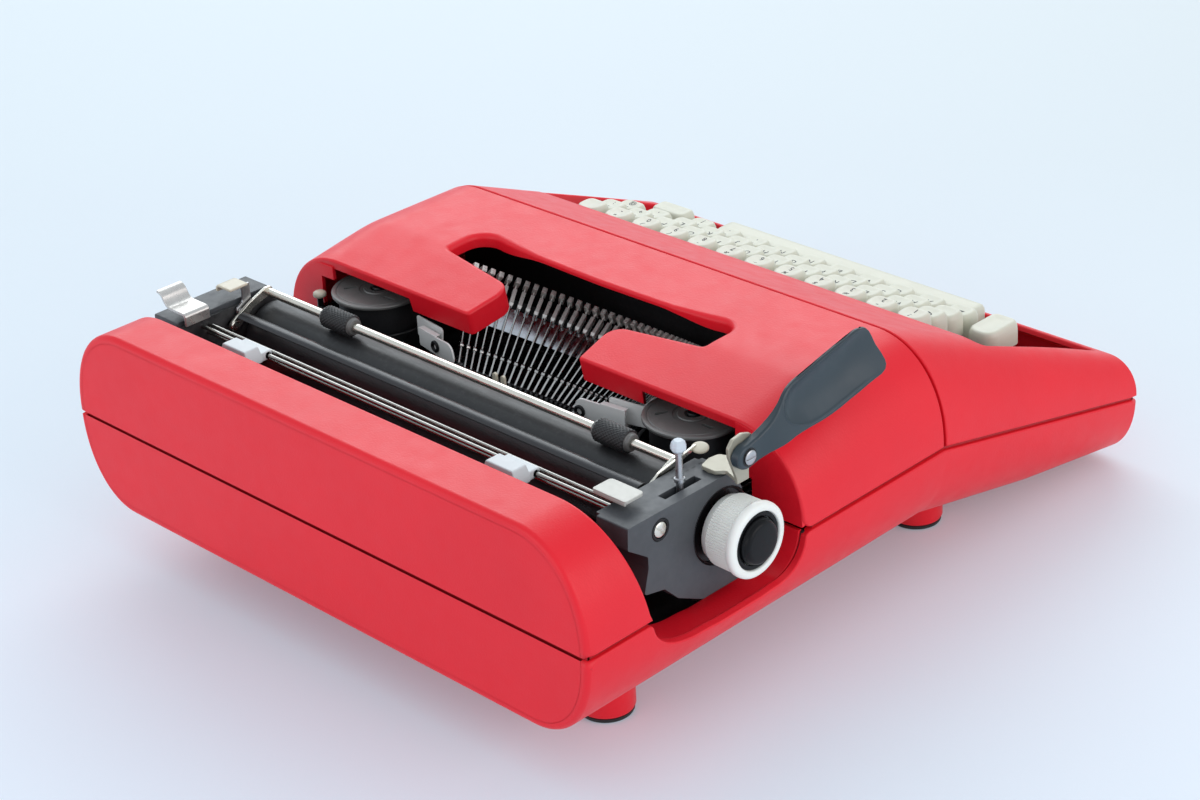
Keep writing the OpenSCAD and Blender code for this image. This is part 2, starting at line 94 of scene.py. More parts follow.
def _map(nt, vec, scale):
    n = nt.nodes.new("ShaderNodeMapping")
    n.inputs["Scale"].default_value = scale
    nt.links.new(vec, n.inputs["Vector"])
    return n.outputs["Vector"]


def _ramp(nt, fac, stops):
    n = nt.nodes.new("ShaderNodeValToRGB")
    cr = n.color_ramp
    cr.elements[0].position, cr.elements[0].color = stops[0][0], (*stops[0][1], 1)
    cr.elements[1].position, cr.elements[1].color = stops[-1][0], (*stops[-1][1], 1)
    for p, c in stops[1:-1]:
        e = cr.elements.new(p)
        e.color = (*c, 1)
    nt.links.new(fac, n.inputs["Fac"])
    return n.outputs["Color"]


def _range(nt, fac, lo, hi, a=0.3, b=0.7):
    n = nt.nodes.new("ShaderNodeMapRange")
    n.inputs["From Min"].default_value = a
    n.inputs["From Max"].default_value = b
    n.inputs["To Min"].default_value = lo
    n.inputs["To Max"].default_value = hi
    nt.links.new(fac, n.inputs["Value"])
    return n.outputs["Result"]


def _bump(nt, height, strength, dist, prev=None):
    n = nt.nodes.new("ShaderNodeBump")
    n.inputs["Strength"].default_value = strength
    n.inputs["Distance"].default_value = dist
    nt.links.new(height, n.inputs["Height"])
    if prev is not None:
        nt.links.new(prev, n.inputs["Normal"])
    return n.outputs["Normal"]


def _mix(nt, fac, a, b):
    n = nt.nodes.new("ShaderNodeMix")
    n.data_type = "RGBA"
    nt.links.new(fac, n.inputs[0])
    for sock, v in ((n.inputs[6], a), (n.inputs[7], b)):
        if hasattr(v, "default_value") or hasattr(v, "is_output"):
            nt.links.new(v, sock)
        else:
            sock.default_value = (*v, 1)
    return n.outputs[2]


def _scale(c, k):
    return tuple(min(1.0, x * k) for x in c)


def make(name, col, rough=(0.4, 0.5), grain=1500.0, gs=0.1, gd=0.0002, var=0.05, vs=30.0, metal=0.0,
         stretch=None, coat=0.0, coat_rough=0.1, spec=0.5, pebble=0.0, pebble_scale=900.0, wear=None, sss=0.0,
         dust=None):
    """Surface with colour drift, uneven gloss, grain and rubbed edges."""
    m, nt, b, vec = _mat(name)
    gv = _map(nt, vec, stretch) if stretch else vec
    c = _ramp(nt, _noise(nt, vec, vs, 4.0), [(0.25, _scale(col, 1 - var)), (0.55, col), (0.8, _scale(col, 1 + var))])
    if dust:
        c = _mix(nt, _range(nt, _noise(nt, vec, vs * 9, 5.0, 0.7), 0.0, dust[1], 0.52, 0.75), c, dust[0])
    if wear:
        geo = nt.nodes.new("ShaderNodeNewGeometry")
        edge = _range(nt, geo.outputs["Pointiness"], 0.0, wear[1], 0.53, 0.62)
        brk = nt.nodes.new("ShaderNodeMath")
        brk.operation = "MULTIPLY"
        nt.links.new(edge, brk.inputs[0])
        nt.links.new(_range(nt, _noise(nt, vec, 160.0, 4.0), 0.2, 1.0, 0.35, 0.6), brk.inputs[1])
        c = _mix(nt, brk.outputs[0], c, wear[0])
    nt.links.new(c, b.inputs["Base Color"])
    nt.links.new(_range(nt, _noise(nt, gv, vs * 7.0, 4.0), rough[0], rough[1]), b.inputs["Roughness"])
    n = _bump(nt, _noise(nt, gv, grain, 3.0, 0.6), gs, gd)
    if pebble:
        v = nt.nodes.new("ShaderNodeTexVoronoi")
        v.feature = "SMOOTH_F1"
        v.inputs["Scale"].default_value = pebble_scale
        nt.links.new(gv, v.inputs["Vector"])
        n = _bump(nt, v.outputs["Distance"], pebble, gd * 1.5, n)
    nt.links.new(n, b.inputs["Normal"])
    b.inputs["Metallic"].default_value = metal
    b.inputs["Specular IOR Level"].default_value = spec
    b.inputs["Coat Weight"].default_value = coat
    b.inputs["Coat Roughness"].default_value = coat_rough
    if sss:
        b.inputs["Subsurface Weight"].default_value = sss
        b.inputs["Subsurface Radius"].default_value = (0.002, 0.0015, 0.001)
    return m


RED = make("casing_red", (0.80, 0.009, 0.022), (0.36, 0.45), 1700, 0.16, 0.00016, 0.04, 18, pebble=0.22, pebble_scale=1150, spec=0.35)
# darker copy of the casing red: painted shade for the inner lips, which are the same red plastic
RED_SHADED = make("casing_red_painted_shade", (0.42, 0.006, 0.012), (0.45, 0.58), 1500, 0.14, 0.00016, 0.06, 25)
IVORY = make("ivory_key", (0.67, 0.655, 0.54), (0.34, 0.44), 1400, 0.05, 0.0001, 0.025, 40, sss=0.06)
WHITE = make("white_knob", (0.87, 0.87, 0.82), (0.32, 0.42), 1600, 0.05, 0.0001, 0.02, 50, sss=0.05)
STOPW = make("stop_white", (0.70, 0.73, 0.745), (0.36, 0.46), 1600, 0.05, 0.0001, 0.02, 50)
SLATE = make("slate", (0.058, 0.063, 0.070), (0.42, 0.54), 2400, 0.16, 0.0001, 0.10, 40, wear=((0.14, 0.15, 0.16), 0.45))
HANDLE = make("handle_slate", (0.021, 0.036, 0.047), (0.34, 0.46), 2600, 0.14, 0.00009, 0.10, 30, wear=((0.12, 0.13, 0.14), 0.4))
BLACKP = make("black_paint", (0.014, 0.014, 0.016), (0.30, 0.46), 1300, 0.08, 0.0001, 0.25, 45, wear=((0.10, 0.10, 0.10), 0.5), dust=((0.05, 0.05, 0.052), 0.35))
BLACKPL = make("black_plastic", (0.008, 0.008, 0.009), (0.26, 0.36), 2000, 0.06, 0.0001, 0.2, 60, wear=((0.05, 0.05, 0.055), 0.3), spec=0.3)
BUTTON = make("button_black", (0.005, 0.005, 0.006), (0.30, 0.40), 2000, 0.06, 0.0001, 0.2, 60, spec=0.18)
RUBBER = make("rubber_black", (0.017, 0.017, 0.018), (0.36, 0.52), 900, 0.10, 0.0001, 0.2, 35, stretch=(0.15, 1, 1), dust=((0.07, 0.07, 0.072), 0.4))
FOOTR = make("foot_rubber", (0.016, 0.016, 0.016), (0.55, 0.7), 1200, 0.2, 0.0002, 0.2, 60)
NICKEL = make("nickel", (0.80, 0.765, 0.68), (0.16, 0.30), 1000, 0.04, 0.00006, 0.05, 60, metal=1.0, stretch=(0.1, 1, 1))
RODM = make("margin_rod_steel", (0.40, 0.39, 0.365), (0.14, 0.26), 1000, 0.04, 0.00006, 0.08, 60, metal=1.0, stretch=(0.1, 1, 1))
STEEL = make("steel", (0.50, 0.50, 0.515), (0.24, 0.40), 1400, 0.08, 0.00006, 0.10, 70, metal=1.0, stretch=(1, 0.12, 1), dust=((0.20, 0.19, 0.18), 0.3))
PLATE = make("satin_plate", (0.70, 0.69, 0.66), (0.30, 0.42), 1500, 0.06, 0.00006, 0.06, 60, metal=1.0, stretch=(0.2, 1, 1))
SPOOL = make("spool_grey", (0.18, 0.178, 0.172), (0.38, 0.50), 1500, 0.06, 0.0001, 0.12, 60, metal=0.35, dust=((0.22, 0.22, 0.22), 0.3))
CREAM = make("cream", (0.68, 0.62, 0.49), (0.32, 0.42), 1500, 0.05, 0.0001, 0.04, 60)
PALE = make("pale_plate", (0.55, 0.54, 0.50), (0.38, 0.5), 1500, 0.05, 0.0001, 0.03, 60, metal=0.25)
INK = make("legend_ink", (0.035, 0.04, 0.042), (0.5, 0.6), 1500, 0.05, 0.00005, 0.2, 90)
RIBBON = make("ribbon_black", (0.008, 0.008, 0.010), (0.55, 0.7), 2600, 0.25, 0.0001, 0.3, 120)
BARM = make("typebar_steel", (0.52, 0.515, 0.50), (0.18, 0.30), 1400, 0.06, 0.00005, 0.08, 90, metal=1.0, stretch=(1, 0.2, 1), dust=((0.25, 0.24, 0.22), 0.3))
HEADM = make("type_metal", (0.80, 0.79, 0.75), (0.26, 0.40), 1800, 0.06, 0.00005, 0.08, 120, metal=0.45, dust=((0.20, 0.19, 0.18), 0.35))
BAND = make("polished_band", (0.55, 0.58, 0.62), (0.10, 0.20), 900, 0.03, 0.00005, 0.05, 60, metal=1.0)
FELT = make("felt_black", (0.012, 0.012, 0.013), (0.8, 0.95), 2600, 0.5, 0.0003, 0.3, 150)
SEGM = make("segment_dark", (0.055, 0.055, 0.058), (0.35, 0.5), 1500, 0.08, 0.0001, 0.15, 70, metal=0.7)
ARMC = make("arm_nickel", (0.40, 0.375, 0.30), (0.28, 0.40), 1500, 0.05, 0.00006, 0.04, 60, metal=0.35)
KNOBP = make("knob_pale", (0.62, 0.68, 0.74), (0.28, 0.38), 1500, 0.05, 0.00006, 0.03, 60, sss=0.05)
CHROME = make("chrome", (0.60, 0.58, 0.55), (0.24, 0.36), 900, 0.03, 0.00004, 0.04, 60, metal=0.75)
TABLEM = make("table_satin", (0.040, 0.040, 0.043), (0.26, 0.40), 1400, 0.06, 0.00008, 0.12, 60, metal=0.3, stretch=(0.1, 1, 1))
GUIDEM = make("guide_plate", (0.88, 0.88, 0.86), (0.34, 0.46), 1500, 0.05, 0.00006, 0.03, 60)
VX = 2.7            # half spacing of the ribbon fork
# black for the chassis parts, and also painted shade on the inner skins of the red shells
CHASSIS_AND_SHADE_BLACK = make("chassis_black_and_painted_shade", (0.010, 0.010, 0.011), (0.6, 0.75), 1200, 0.1, 0.0001, 0.3, 40, spec=0.2, dust=((0.03, 0.03, 0.03), 0.4))


# ------------------------------------------------------------------ mesh tools
def obj(name, verts, faces, mat, body, slot=None, smooth=True, normals=None, swaps=(), mm=True, fix=True):
    me = bpy.data.meshes.new(name)
    me.from_pydata([P(*v) for v in verts] if mm else verts, [], faces)
    me.validate()
    if fix and normals is None:
        bm = bmesh.new()
        bm.from_mesh(me)
        bmesh.ops.remove_doubles(bm, verts=bm.verts, dist=2e-6)
        bmesh.ops.recalc_face_normals(bm, faces=bm.faces)
        bm.to_mesh(me)
        bm.free()
    for p in me.polygons:
        p.use_smooth = smooth
    if normals is not None:
        me.normals_split_custom_set_from_vertices([Vector(n).normalized() for n in normals])
    ob = bpy.data.objects.new(name, me)
    bpy.context.collection.objects.link(ob)
    me.materials.append(mat)
    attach(ob, body)
    if swaps:
        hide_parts(*swaps)
    return ob


def bevel(ob, w, seg=3, angle=35.0):
    m = ob.modifiers.new("round", "BEVEL")
    m.width = w / 1000.0
    m.segments = seg
    m.limit_method = "ANGLE"
    m.angle_limit = math.radians(angle)
    m.harden_normals = False
    n = ob.modifiers.new("even", "WEIGHTED_NORMAL")
    n.keep_sharp = False
    n.weight = 80
    return ob


class Bag:
    """Collects several solids into one mesh."""

    def __init__(self):
        self.v, self.f = [], []

    def add(self, verts, faces):
        k = len(self.v)
        self.v += [tuple(v) for v in verts]
        self.f += [tuple(i + k for i in f) for f in faces]
        return self

    def obj(self, *a, **k):
        return obj(a[0], self.v, self.f, *a[1:], **k)


def rpoly(pts, seg=6):
    """Polygon from (x, y, radius) corners."""
    out = []
    n = len(pts)
    for i in range(n):
        x, y, r = pts[i]
        if r <= 0:
            out.append((x, y))
            continue
        ax, ay = pts[i - 1][0] - x, pts[i - 1][1] - y
        bx, by = pts[(i + 1) % n][0] - x, pts[(i + 1) % n][1] - y
        la, lb = math.hypot(ax, ay), math.hypot(bx, by)
        ax, ay, bx, by = ax / la, ay / la, bx / lb, by / lb
        cs = max(-1, min(1, ax * bx + ay * by))
        th = math.acos(cs)
        t = min(r / math.tan(th / 2), 0.48 * la, 0.48 * lb)
        rr = t * math.tan(th / 2)
        mx, my = ax + bx, ay + by
        lm = math.hypot(mx, my)
        d = rr / math.sin(th / 2)
        cx, cy = x + mx / lm * d, y + my / lm * d
        a0 = math.atan2(y + ay * t - cy, x + ax * t - cx)
        a1 = math.atan2(y + by * t - cy, x + bx * t - cx)
        da = a1 - a0
        while da > pi:
            da -= 2 * pi
        while da < -pi:
            da += 2 * pi
        for k in range(seg + 1):
            a = a0 + da * k / seg
            out.append((cx + rr * math.cos(a), cy + rr * math.sin(a)))
    return out


def area2(p):
    return sum(p[i - 1][0] * p[i][1] - p[i][0] * p[i - 1][1] for i in range(len(p))) / 2


def dense(p, step, closed=True):
    out = []
    n = len(p)
    for i in range(n if closed else n - 1):
        a, b = p[i], p[(i + 1) % n]
        L = math.hypot(b[0] - a[0], b[1] - a[1])
        k = max(1, int(math.ceil(L / step)))
        for j in range(k):
            out.append((a[0] + (b[0] - a[0]) * j / k, a[1] + (b[1] - a[1]) * j / k))
    if not closed:
        out.append(p[-1])
    return out


def inside(x, y, poly):
    c = False
    j = len(poly) - 1
    for i in range(len(poly)):
        xi, yi = poly[i]
        xj, yj = poly[j]
        if (yi > y) != (yj > y) and x < (xj - xi) * (y - yi) / (yj - yi) + xi:
            c = not c
        j = i
    return c


def miter(loop):
    """Unit normals to the left of a loop, lengthened at corners."""
    out = []
    n = len(loop)
    for i in range(n):
        a, b, c = loop[i - 1], loop[i], loop[(i + 1) % n]
        d1 = (b[0] - a[0], b[1] - a[1])
        d2 = (c[0] - b[0], c[1] - b[1])
        l1, l2 = math.hypot(*d1) or 1, math.hypot(*d2) or 1
        n1, n2 = (-d1[1] / l1, d1[0] / l1), (-d2[1] / l2, d2[0] / l2)
        m = (n1[0] + n2[0], n1[1] + n2[1])
        lm = math.hypot(*m) or 1
        m = (m[0] / lm, m[1] / lm)
        k = 1 / max(0.6, m[0] * n1[0] + m[1] * n1[1])
        out.append((m[0] * k, m[1] * k))
    return out


def panel(outer, holes, base, out_at, r, D, w=1.6, wall=2.4, seg=5, steiner=(), drop=None, gap=2.0):
    """Moulded sheet over a curved surface: outer skin, rounded edges, turned-in rims and inner skin.

    outlines are in the sheet's own (u, v); base gives the point; r and D give edge radius and rim depth."""
    V, N, F = [], [], []

    def pt(u, v):
        return Vector(base(u, v))

    def nrm(u, v):
        h = 0.04
        du = pt(u + h, v) - pt(u - h, v)
        dv = pt(u, v + h) - pt(u, v - h)
        n = du.cross(dv)
        if n.length < 1e-9:
            n = pt(u, v) - Vector(out_at(u))
        n.normalize()
        return n if n.dot(pt(u, v) - Vector(out_at(u))) > 0 else -n

    loops = []
    for k, lp in enumerate([outer] + list(holes)):
        ccw = area2(lp) > 0
        loops.append(lp if ccw == (k == 0) else lp[::-1])
    first, last = [], []
    down = Vector(drop) if drop else None
    for lp in loops:
        mt = miter(lp)
        rings = []
        data = []
        for (u, v), (a, b) in zip(lp, mt):
            rr, dd = r(u, v), D(u, v)
            prof = []
            for k in range(seg + 1):
                th = k / seg * pi / 2
                prof.append((rr * (1 - math.sin(th)), rr * (1 - math.cos(th)), math.cos(th), math.sin(th)))
            e = 0.35
            prof += [(0, dd - e, 0, 1), (0.3 * e, dd - 0.3 * e, -0.7, 0.7), (e, dd, -1, 0), (w - e, dd, -1, 0),
                     (w - 0.3 * e, dd - 0.3 * e, -0.7, -0.7), (w, dd - e, 0, -1), (w, wall, -1, -0.3)]
            data.append((u, v, a, b, rr, prof))
        m = len(data[0][5])
        for k in range(m):
            ring = []
            for (u, v, a, b, rr, prof) in data:
                off, dep, cn, ct = prof[k]
                uu, vv = u + a * off, v + b * off
                n = nrm(uu, vv)
                t = pt(u - a * 0.05, v - b * 0.05) - pt(u, v)
                t = (t - n * t.dot(n))
                t = t.normalized() if t.length > 1e-9 else n
                p = pt(uu, vv)
                if down is not None and dep > rr:
                    p = p - n * rr + down * (dep - rr)
                else:
                    p = p - n * dep
                ring.append(len(V))
                V.append(tuple(p))
                N.append(n * cn + t * ct)
            rings.append(ring)
        cnt = len(lp)
        for k in range(m - 1):
            for i in range(cnt):
                j = (i + 1) % cnt
                F.append((rings[k][i], rings[k][j], rings[k + 1][j], rings[k + 1][i]))
        first.append((rings[0], [(d[0] + d[2] * d[5][0][0], d[1] + d[3] * d[5][0][0]) for d in data]))
        last.append((rings[-1], [(d[0] + d[2] * w, d[1] + d[3] * w) for d in data]))

    def skin(bound, depth, flip):
        pts, ids = [], []
        for ring, uv in bound:
            pts += uv
            ids += ring
        edges = []
        k = 0
        for ring, uv in bound:
            n = len(ring)
            edges += [(k + i, k + (i + 1) % n) for i in range(n)]
            k += n
        nb = len(pts)
        polys = [uv for _, uv in bound]
        extra = []
        for (u, v) in steiner:
            if not inside(u, v, polys[0]) or any(inside(u, v, q) for q in polys[1:]):
                continue
            if min((u - a) ** 2 + (v - b) ** 2 for a, b in pts) < gap * gap:
                continue
            extra.append((u, v))
        vs, es, fs, ov, oe, of_ = delaunay_2d_cdt([Vector(q) for q in pts + extra], edges, [], 0, 1e-6)
        idx = []
        for i, q in enumerate(vs):
            src = [s for s in ov[i] if s < nb]
            if src:
                idx.append(ids[src[0]])
                continue
            n = nrm(q[0], q[1])
            idx.append(len(V))
            V.append(tuple(pt(q[0], q[1]) - n * depth))
            N.append(-n if flip else n)
        for f in fs:
            cu = sum(vs[i][0] for i in f) / len(f)
            cv = sum(vs[i][1] for i in f) / len(f)
            if inside(cu, cv, polys[0]) and not any(inside(cu, cv, q) for q in polys[1:]):
                g = tuple(idx[i] for i in f)
                if len(set(g)) == len(g):
                    F.append(g)

    skin(first, 0.0, False)
    panel.inner = len(F)
    skin(last, wall, True)
    panel.end = len(F)
    return V, N, F


def orient(V, N, F):
    """Faces turned to agree with their normals."""
    out = []
    for f in F:
        a, b, c = Vector(V[f[0]]), Vector(V[f[1]]), Vector(V[f[2]])
        n = (b - a).cross(c - a)
        if len(f) == 4:
            n += (c - a).cross(Vector(V[f[3]]) - a)
        s = sum((Vector(N[i]) for i in f), Vector())
        out.append(f if n.dot(s) >= 0 else f[::-1])
    return out


def extrude_x(poly, x0, x1):
    """(y, z) outline drawn out along X."""
    n = len(poly)
    v = [(x0, y, z) for y, z in poly] + [(x1, y, z) for y, z in poly]
    f = [tuple(range(n)), tuple(range(2 * n - 1, n - 1, -1))]
    f += [(i, (i + 1) % n, n + (i + 1) % n, n + i) for i in range(n)]
    return v, f


def extrude_y(poly, y0, y1):
    """(x, z) outline drawn out along Y."""
    n = len(poly)
    v = [(x, y0, z) for x, z in poly] + [(x, y1, z) for x, z in poly]
    f = [tuple(range(n)), tuple(range(2 * n - 1, n - 1, -1))]
    f += [(i, (i + 1) % n, n + (i + 1) % n, n + i) for i in range(n)]
    return v, f


def extrude_z(poly, z0, z1):
    n = len(poly)
    v = [(x, y, z0) for x, y in poly] + [(x, y, z1) for x, y in poly]
    f = [tuple(range(n)), tuple(range(2 * n - 1, n - 1, -1))]
    f += [(i, (i + 1) % n, n + (i + 1) % n, n + i) for i in range(n)]
    return v, f


def lathe(prof, n, centre, axis="x", ripple=None):
    """Profile of (along, radius) turned about an axis through centre."""
    v, f = [], []
    m = len(prof)
    for k, (a, r) in enumerate(prof):
        for i in range(n):
            t = 2 * pi * i / n
            rr = r + (ripple(k, i) if ripple and r > 0 else 0.0)
            c, s = rr * math.cos(t), rr * math.sin(t)
            if axis == "x":
                v.append((centre[0] + a, centre[1] + c, centre[2] + s))
            elif axis == "y":
                v.append((centre[0] + c, centre[1] + a, centre[2] + s))
            else:
                v.append((centre[0] + c, centre[1] + s, centre[2] + a))
    for k in range(m - 1):
        for i in range(n):
            j = (i + 1) % n
            f.append((k * n + i, k * n + j, (k + 1) * n + j, (k + 1) * n + i))
    if prof[0][1] > 0 and (prof[0] != prof[-1]):
        f.append(tuple(range(n)))
        f.append(tuple(range((m - 1) * n, m * n)))
    return v, f


def tube(path, r, n=14, caps=True):
    """Round wire along a path of points."""
    v, f = [], []
    pts = [Vector(p) for p in path]
    up = Vector((0.13, 0.21, 0.97))
    for k, p in enumerate(pts):
        d = (pts[min(k + 1, len(pts) - 1)] - pts[max(k - 1, 0)]).normalized()
        a = d.cross(up)
        if a.length < 1e-3:
            a = d.cross(Vector((1, 0, 0)))
        a.normalize()
        b = d.cross(a).normalized()
        up = -b if k == 0 else up
        for i in range(n):
            t = 2 * pi * i / n
            v.append(tuple(p + a * (r * math.cos(t)) + b * (r * math.sin(t))))
    m = len(pts)
    for k in range(m - 1):
        for i in range(n):
            j = (i + 1) % n
            f.append((k * n + i, k * n + j, (k + 1) * n + j, (k + 1) * n + i))
    if caps:
        f.append(tuple(range(n)))
        f.append(tuple(range((m - 1) * n, m * n)))
    return v, f


def bend(pts, r, seg=6):
    """Polyline in space with rounded corners."""
    out = [Vector(pts[0])]
    for i in range(1, len(pts) - 1):
        a, b, c = Vector(pts[i - 1]), Vector(pts[i]), Vector(pts[i + 1])
        da, dc = (a - b).normalized(), (c - b).normalized()
        t = min(r, (a - b).length * 0.45, (c - b).length * 0.45)
        p0, p1 = b + da * t, b + dc * t
        for k in range(seg + 1):
            s = k / seg
            out.append(p0 * (1 - s) ** 2 + b * (2 * s * (1 - s)) + p1 * s ** 2)
    out.append(Vector(pts[-1]))
    return out


def rbox(x0, x1, y0, y1, z0, z1):
    v = [(x, y, z) for z in (z0, z1) for y in (y0, y1) for x in (x0, x1)]
    f = [(0, 2, 3, 1), (4, 5, 7, 6), (0, 1, 5, 4), (2, 6, 7, 3), (0, 4, 6, 2), (1, 3, 7, 5)]
    return v, f


# ------------------------------------------------------------------ casing sections
E = 0.925


def zpart(y):
    return 0.0 if y > -STR else -36.2 * (-STR - y) / (LEN - STR)


def zunder(y):
    if y > -STR:
        return -LOW
    if y > -313:
        return -LOW - 15 * (-STR - y) / (313 - STR)
    return -LOW - 15 - 8.8 * (-313 - y) / (LEN - 313)


def zslope(y):
    return TOP + (-17.0 - TOP) * (-STR - y) / (LEN - STR)


def lerp3(y, a, b, c):
    """Value along the keyboard: a at the joint, b at -313, c at the front."""
    if y > -313:
        t = max(0.0, (-STR - y) / (313 - STR))
        return a + (b - a) * t
    t = (-313 - y) / (LEN - 313)
    return b + (c - b) * t


def corner(t):
    t = max(0.0, min(1.0, t)) * pi / 2
    return max(0.0, math.sin(t)) ** E, max(0.0, math.cos(t)) ** E


def up_pt(v, y, zp, zt, ca):
    s = 1 if v >= 0 else -1
    a = abs(v)
    fl = HW - ca
    if a <= 130:
        return (s * a * fl / 130, y, zt)
    sx, cz = corner((a - 130) / 70)
    return (s * (fl + ca * sx), y, zp + (zt - zp) * cz - max(0.0, a - 200))


def lo_pt(v, y, zp, zb, cb):
    s = 1 if v >= 0 else -1
    a = abs(v)
    fl = HW - cb
    if a <= 130:
        return (s * a * fl / 130, y, zb)
    sx, cz = corner((a - 130) / 62)
    return (s * (fl + cb * sx), y, zp - (zp - zb) * cz + max(0.0, a - 192))


def grid_pts(us, vs):
    return [(u, v) for u in us for v in vs]


def ease(t):
    t = max(0.0, min(1.0, t))
    return t * t * (3 - 2 * t)


def inset_arc(pts, d, side):
    """Open line moved sideways by d."""
    out = []
    for i, (x, z) in enumerate(pts):
        a, b = pts[max(0, i - 1)], pts[min(len(pts) - 1, i + 1)]
        tx, tz = b[0] - a[0], b[1] - a[1]
        k = side * d / (math.hypot(tx, tz) or 1.0)
        out.append((x + tz * k, z - tx * k))
    return out


def frange(a, b, n):
    return [a + (b - a) * i / n for i in range(n + 1)]


arc_v = [130 + 70 * k / 14 for k in range(15)]
arc_w = [130 + 62 * k / 14 for k in range(15)]
flat_v = frange(-128, 128, 12)


def plate_y(pts, y, t):
    return extrude_y(pts, y, y - t)


def shell_obj(name, VNF, mat, slot, body, swaps=(), shade_lining=None):
    """Moulding; with a shade lining its inner skin is split off as a black sheet that paints in shade, where the real
    inside is the same red.
    """
    V, N, F = VNF
    F = orient(V, N, F)
    # inner skin goes to its own black object: painted shade
    if shade_lining:
        part = F[shade_lining[0]:shade_lining[1]]
        F = F[:shade_lining[0]] + F[shade_lining[1]:]
        use = sorted({i for f in part for i in f})
        at = {k: i for i, k in enumerate(use)}
        obj(name + "_lining", [V[k] for k in use], [tuple(at[i] for i in f) for f in part], CHASSIS_AND_SHADE_BLACK, body, "black_paint", True, [N[k] for k in use])
        use = sorted({i for f in F for i in f})
        at = {k: i for i, k in enumerate(use)}
        V, N, F = [V[k] for k in use], [N[k] for k in use], [tuple(at[i] for i in f) for f in F]
    return obj(name, V, F, mat, body, slot, True, N, swaps)


# ---- rear cover
def rc_base(u, v):
    return up_pt(v, u, ZG, TOP, 40.0)


def rc_front(v):
    z = up_pt(v, 0, ZG, TOP, 40.0)[2]
    return -38.4 + (z - ZG) / (TOP - ZG) * 10.8


vs_full = [-a for a in arc_v[::-1]] + flat_v + arc_v
vs_fine = [-200 + 70 * k / 28 for k in range(29)] + frange(-122, 122, 24) + [130 + 70 * k / 28 for k in range(29)]
rc_out = [(0.0, v) for v in vs_fine] + dense([(0.0, 200.0), (rc_front(200), 200.0)], 5, False)[1:-1] + \
    [(rc_front(v), v) for v in vs_fine[::-1]] + dense([(rc_front(-200), -200.0), (0.0, -200.0)], 5, False)[1:-1]
rc = panel(rc_out, [], rc_base, lambda u: (0, u, -20), lambda u, v: 2.6 if u > -0.5 else (0.7 if abs(v) > 199 else 1.8),
           lambda u, v: 4.2, steiner=grid_pts(frange(-4, -34, 6), vs_full))
V, N, F = rc
rear = [up_pt(v, 0, ZG, TOP, 40.0) for v in vs_fine]
ins = inset_arc([(x, z) for x, y, z in rear], 3.7, 1)
pv, pf = extrude_y(ins, 0.0, -2.2)
k0 = len(V)
V += pv
N += [(0, 1, 0)] * len(ins) + [(0, -1, 0)] * len(ins)
F += [tuple(i + k0 for i in f) for f in pf[:2]]
shell_obj("rear_cover_shell", (V, N, F), RED, "casing_red", "body", ("rear_cover",), (panel.inner, panel.end))


# ---- ribbon cover with the type window
def tc_top(y):
    t = (y + 170.0)
    s = math.sqrt(t * t + 16.0)
    return TOP - 7.7 / 39.0 * (t + s) / 2.0


def tc_base(u, v):
    return up_pt(v, u, ZG, tc_top(u), 40.0)


win = rpoly([(-36.8, -132.0, 0), (-33.2, -158.8, 9), (-81.8, -167.2, 2.0), (-81.5, -193.2, 9), (-62, -189.6, 12), (-45, -187.4, 20), (-20, -186.8, 20), (2, -186.4, 30),
             (22, -187.0, 20), (45, -187.8, 20), (62, -189.8, 12), (88.6, -193.6, 10), (87.6, -168.4, 1.8),
             (33.2, -158.6, 10), (35.8, -132.0, 0)], 8)


def tc_v(z, y):
    q = max(0.0, min(1.0, (z - ZG) / (tc_top(y) - ZG)))
    return 130 + 70 * math.acos(q ** (1 / E)) / (pi / 2)


knee = [(-138 + 6 * math.cos(t), tc_v(7 - 6 * math.sin(t), -134)) for t in frange(pi / 2, 0.0, 6)]
tc_out = [(-229.1, v) for v in vs_fine] + dense([(-229.1, 200.0), (-138.0, 200.0)], 6, False)[1:-1] + knee[:-1]
tc_rear_r = [(-132.0, v) for v in reversed([a for a in vs_fine if 128 <= a < knee[-1][1] + 0.1])] + \
    [(-132.0, v) for v in (120, 110, 100, 92, 84, 78.3, 77.7, 70, 60, 50, 42)]
tc_rear_l = [(-132.0, v) for v in (-43, -50, -60, -68, -75.2, -75.8, -84, -92, -100, -110, -120)] + [(-132.0, v) for v in reversed([a for a in vs_fine if -128 >= a > -knee[-1][1] - 0.1])] + [(u, -v) for u, v in reversed(knee[:-1])]
wl = [q for q in dense([(y, x) for x, y in win], 4.0) if q[0] < -134.6]
if wl[0][1] < 0:
    wl.reverse()
tip_r = [(-134.2 + 2.2 * math.cos(t), 37.8 - 2.2 * math.sin(t)) for t in frange(0.0, pi / 2, 5)]
tip_l = [(-134.2 + 2.2 * math.cos(t), -38.7 + 2.2 * math.sin(t)) for t in frange(pi / 2, 0.0, 5)]
tc_out = tc_out + tc_rear_r + tip_r + wl + tip_l + tc_rear_l + dense([(-138.0, -200.0), (-229.1, -200.0)], 6, False)[1:-1]


def bow(v):
    t = max(0.0, min(1.0, (abs(v - 2.0) - 38.0) / 34.0))
    return t * t * (3 - 2 * t)


def tc_D(u, v):
    if -228.5 < u < -184.0 and abs(v) < 100:
        return 2.9 + 4.1 * bow(v)
    if u > -132.5:
        if 36 < v < 78 or -75.5 < v < -36:
            return 12.4
        if abs(v) < 131:
            return 5.2
        return 5.2
    if u < -228.5 or abs(v) > 199:
        return 4.2
    return 12.4 - 5.4 * max(0.0, min(1.0, (-159.0 - u) / 8.0))


def tc_r(u, v):
    if -228.5 < u < -184.0 and abs(v) < 100:
        return 1.7 + 1.1 * bow(v)
    if u < -228.5 or abs(v) > 199:
        return 0.8
    if u > -132.5:
        return 1.4
    return 1.7 + 1.4 * max(0.0, min(1.0, (-160.0 - u) / 10.0))


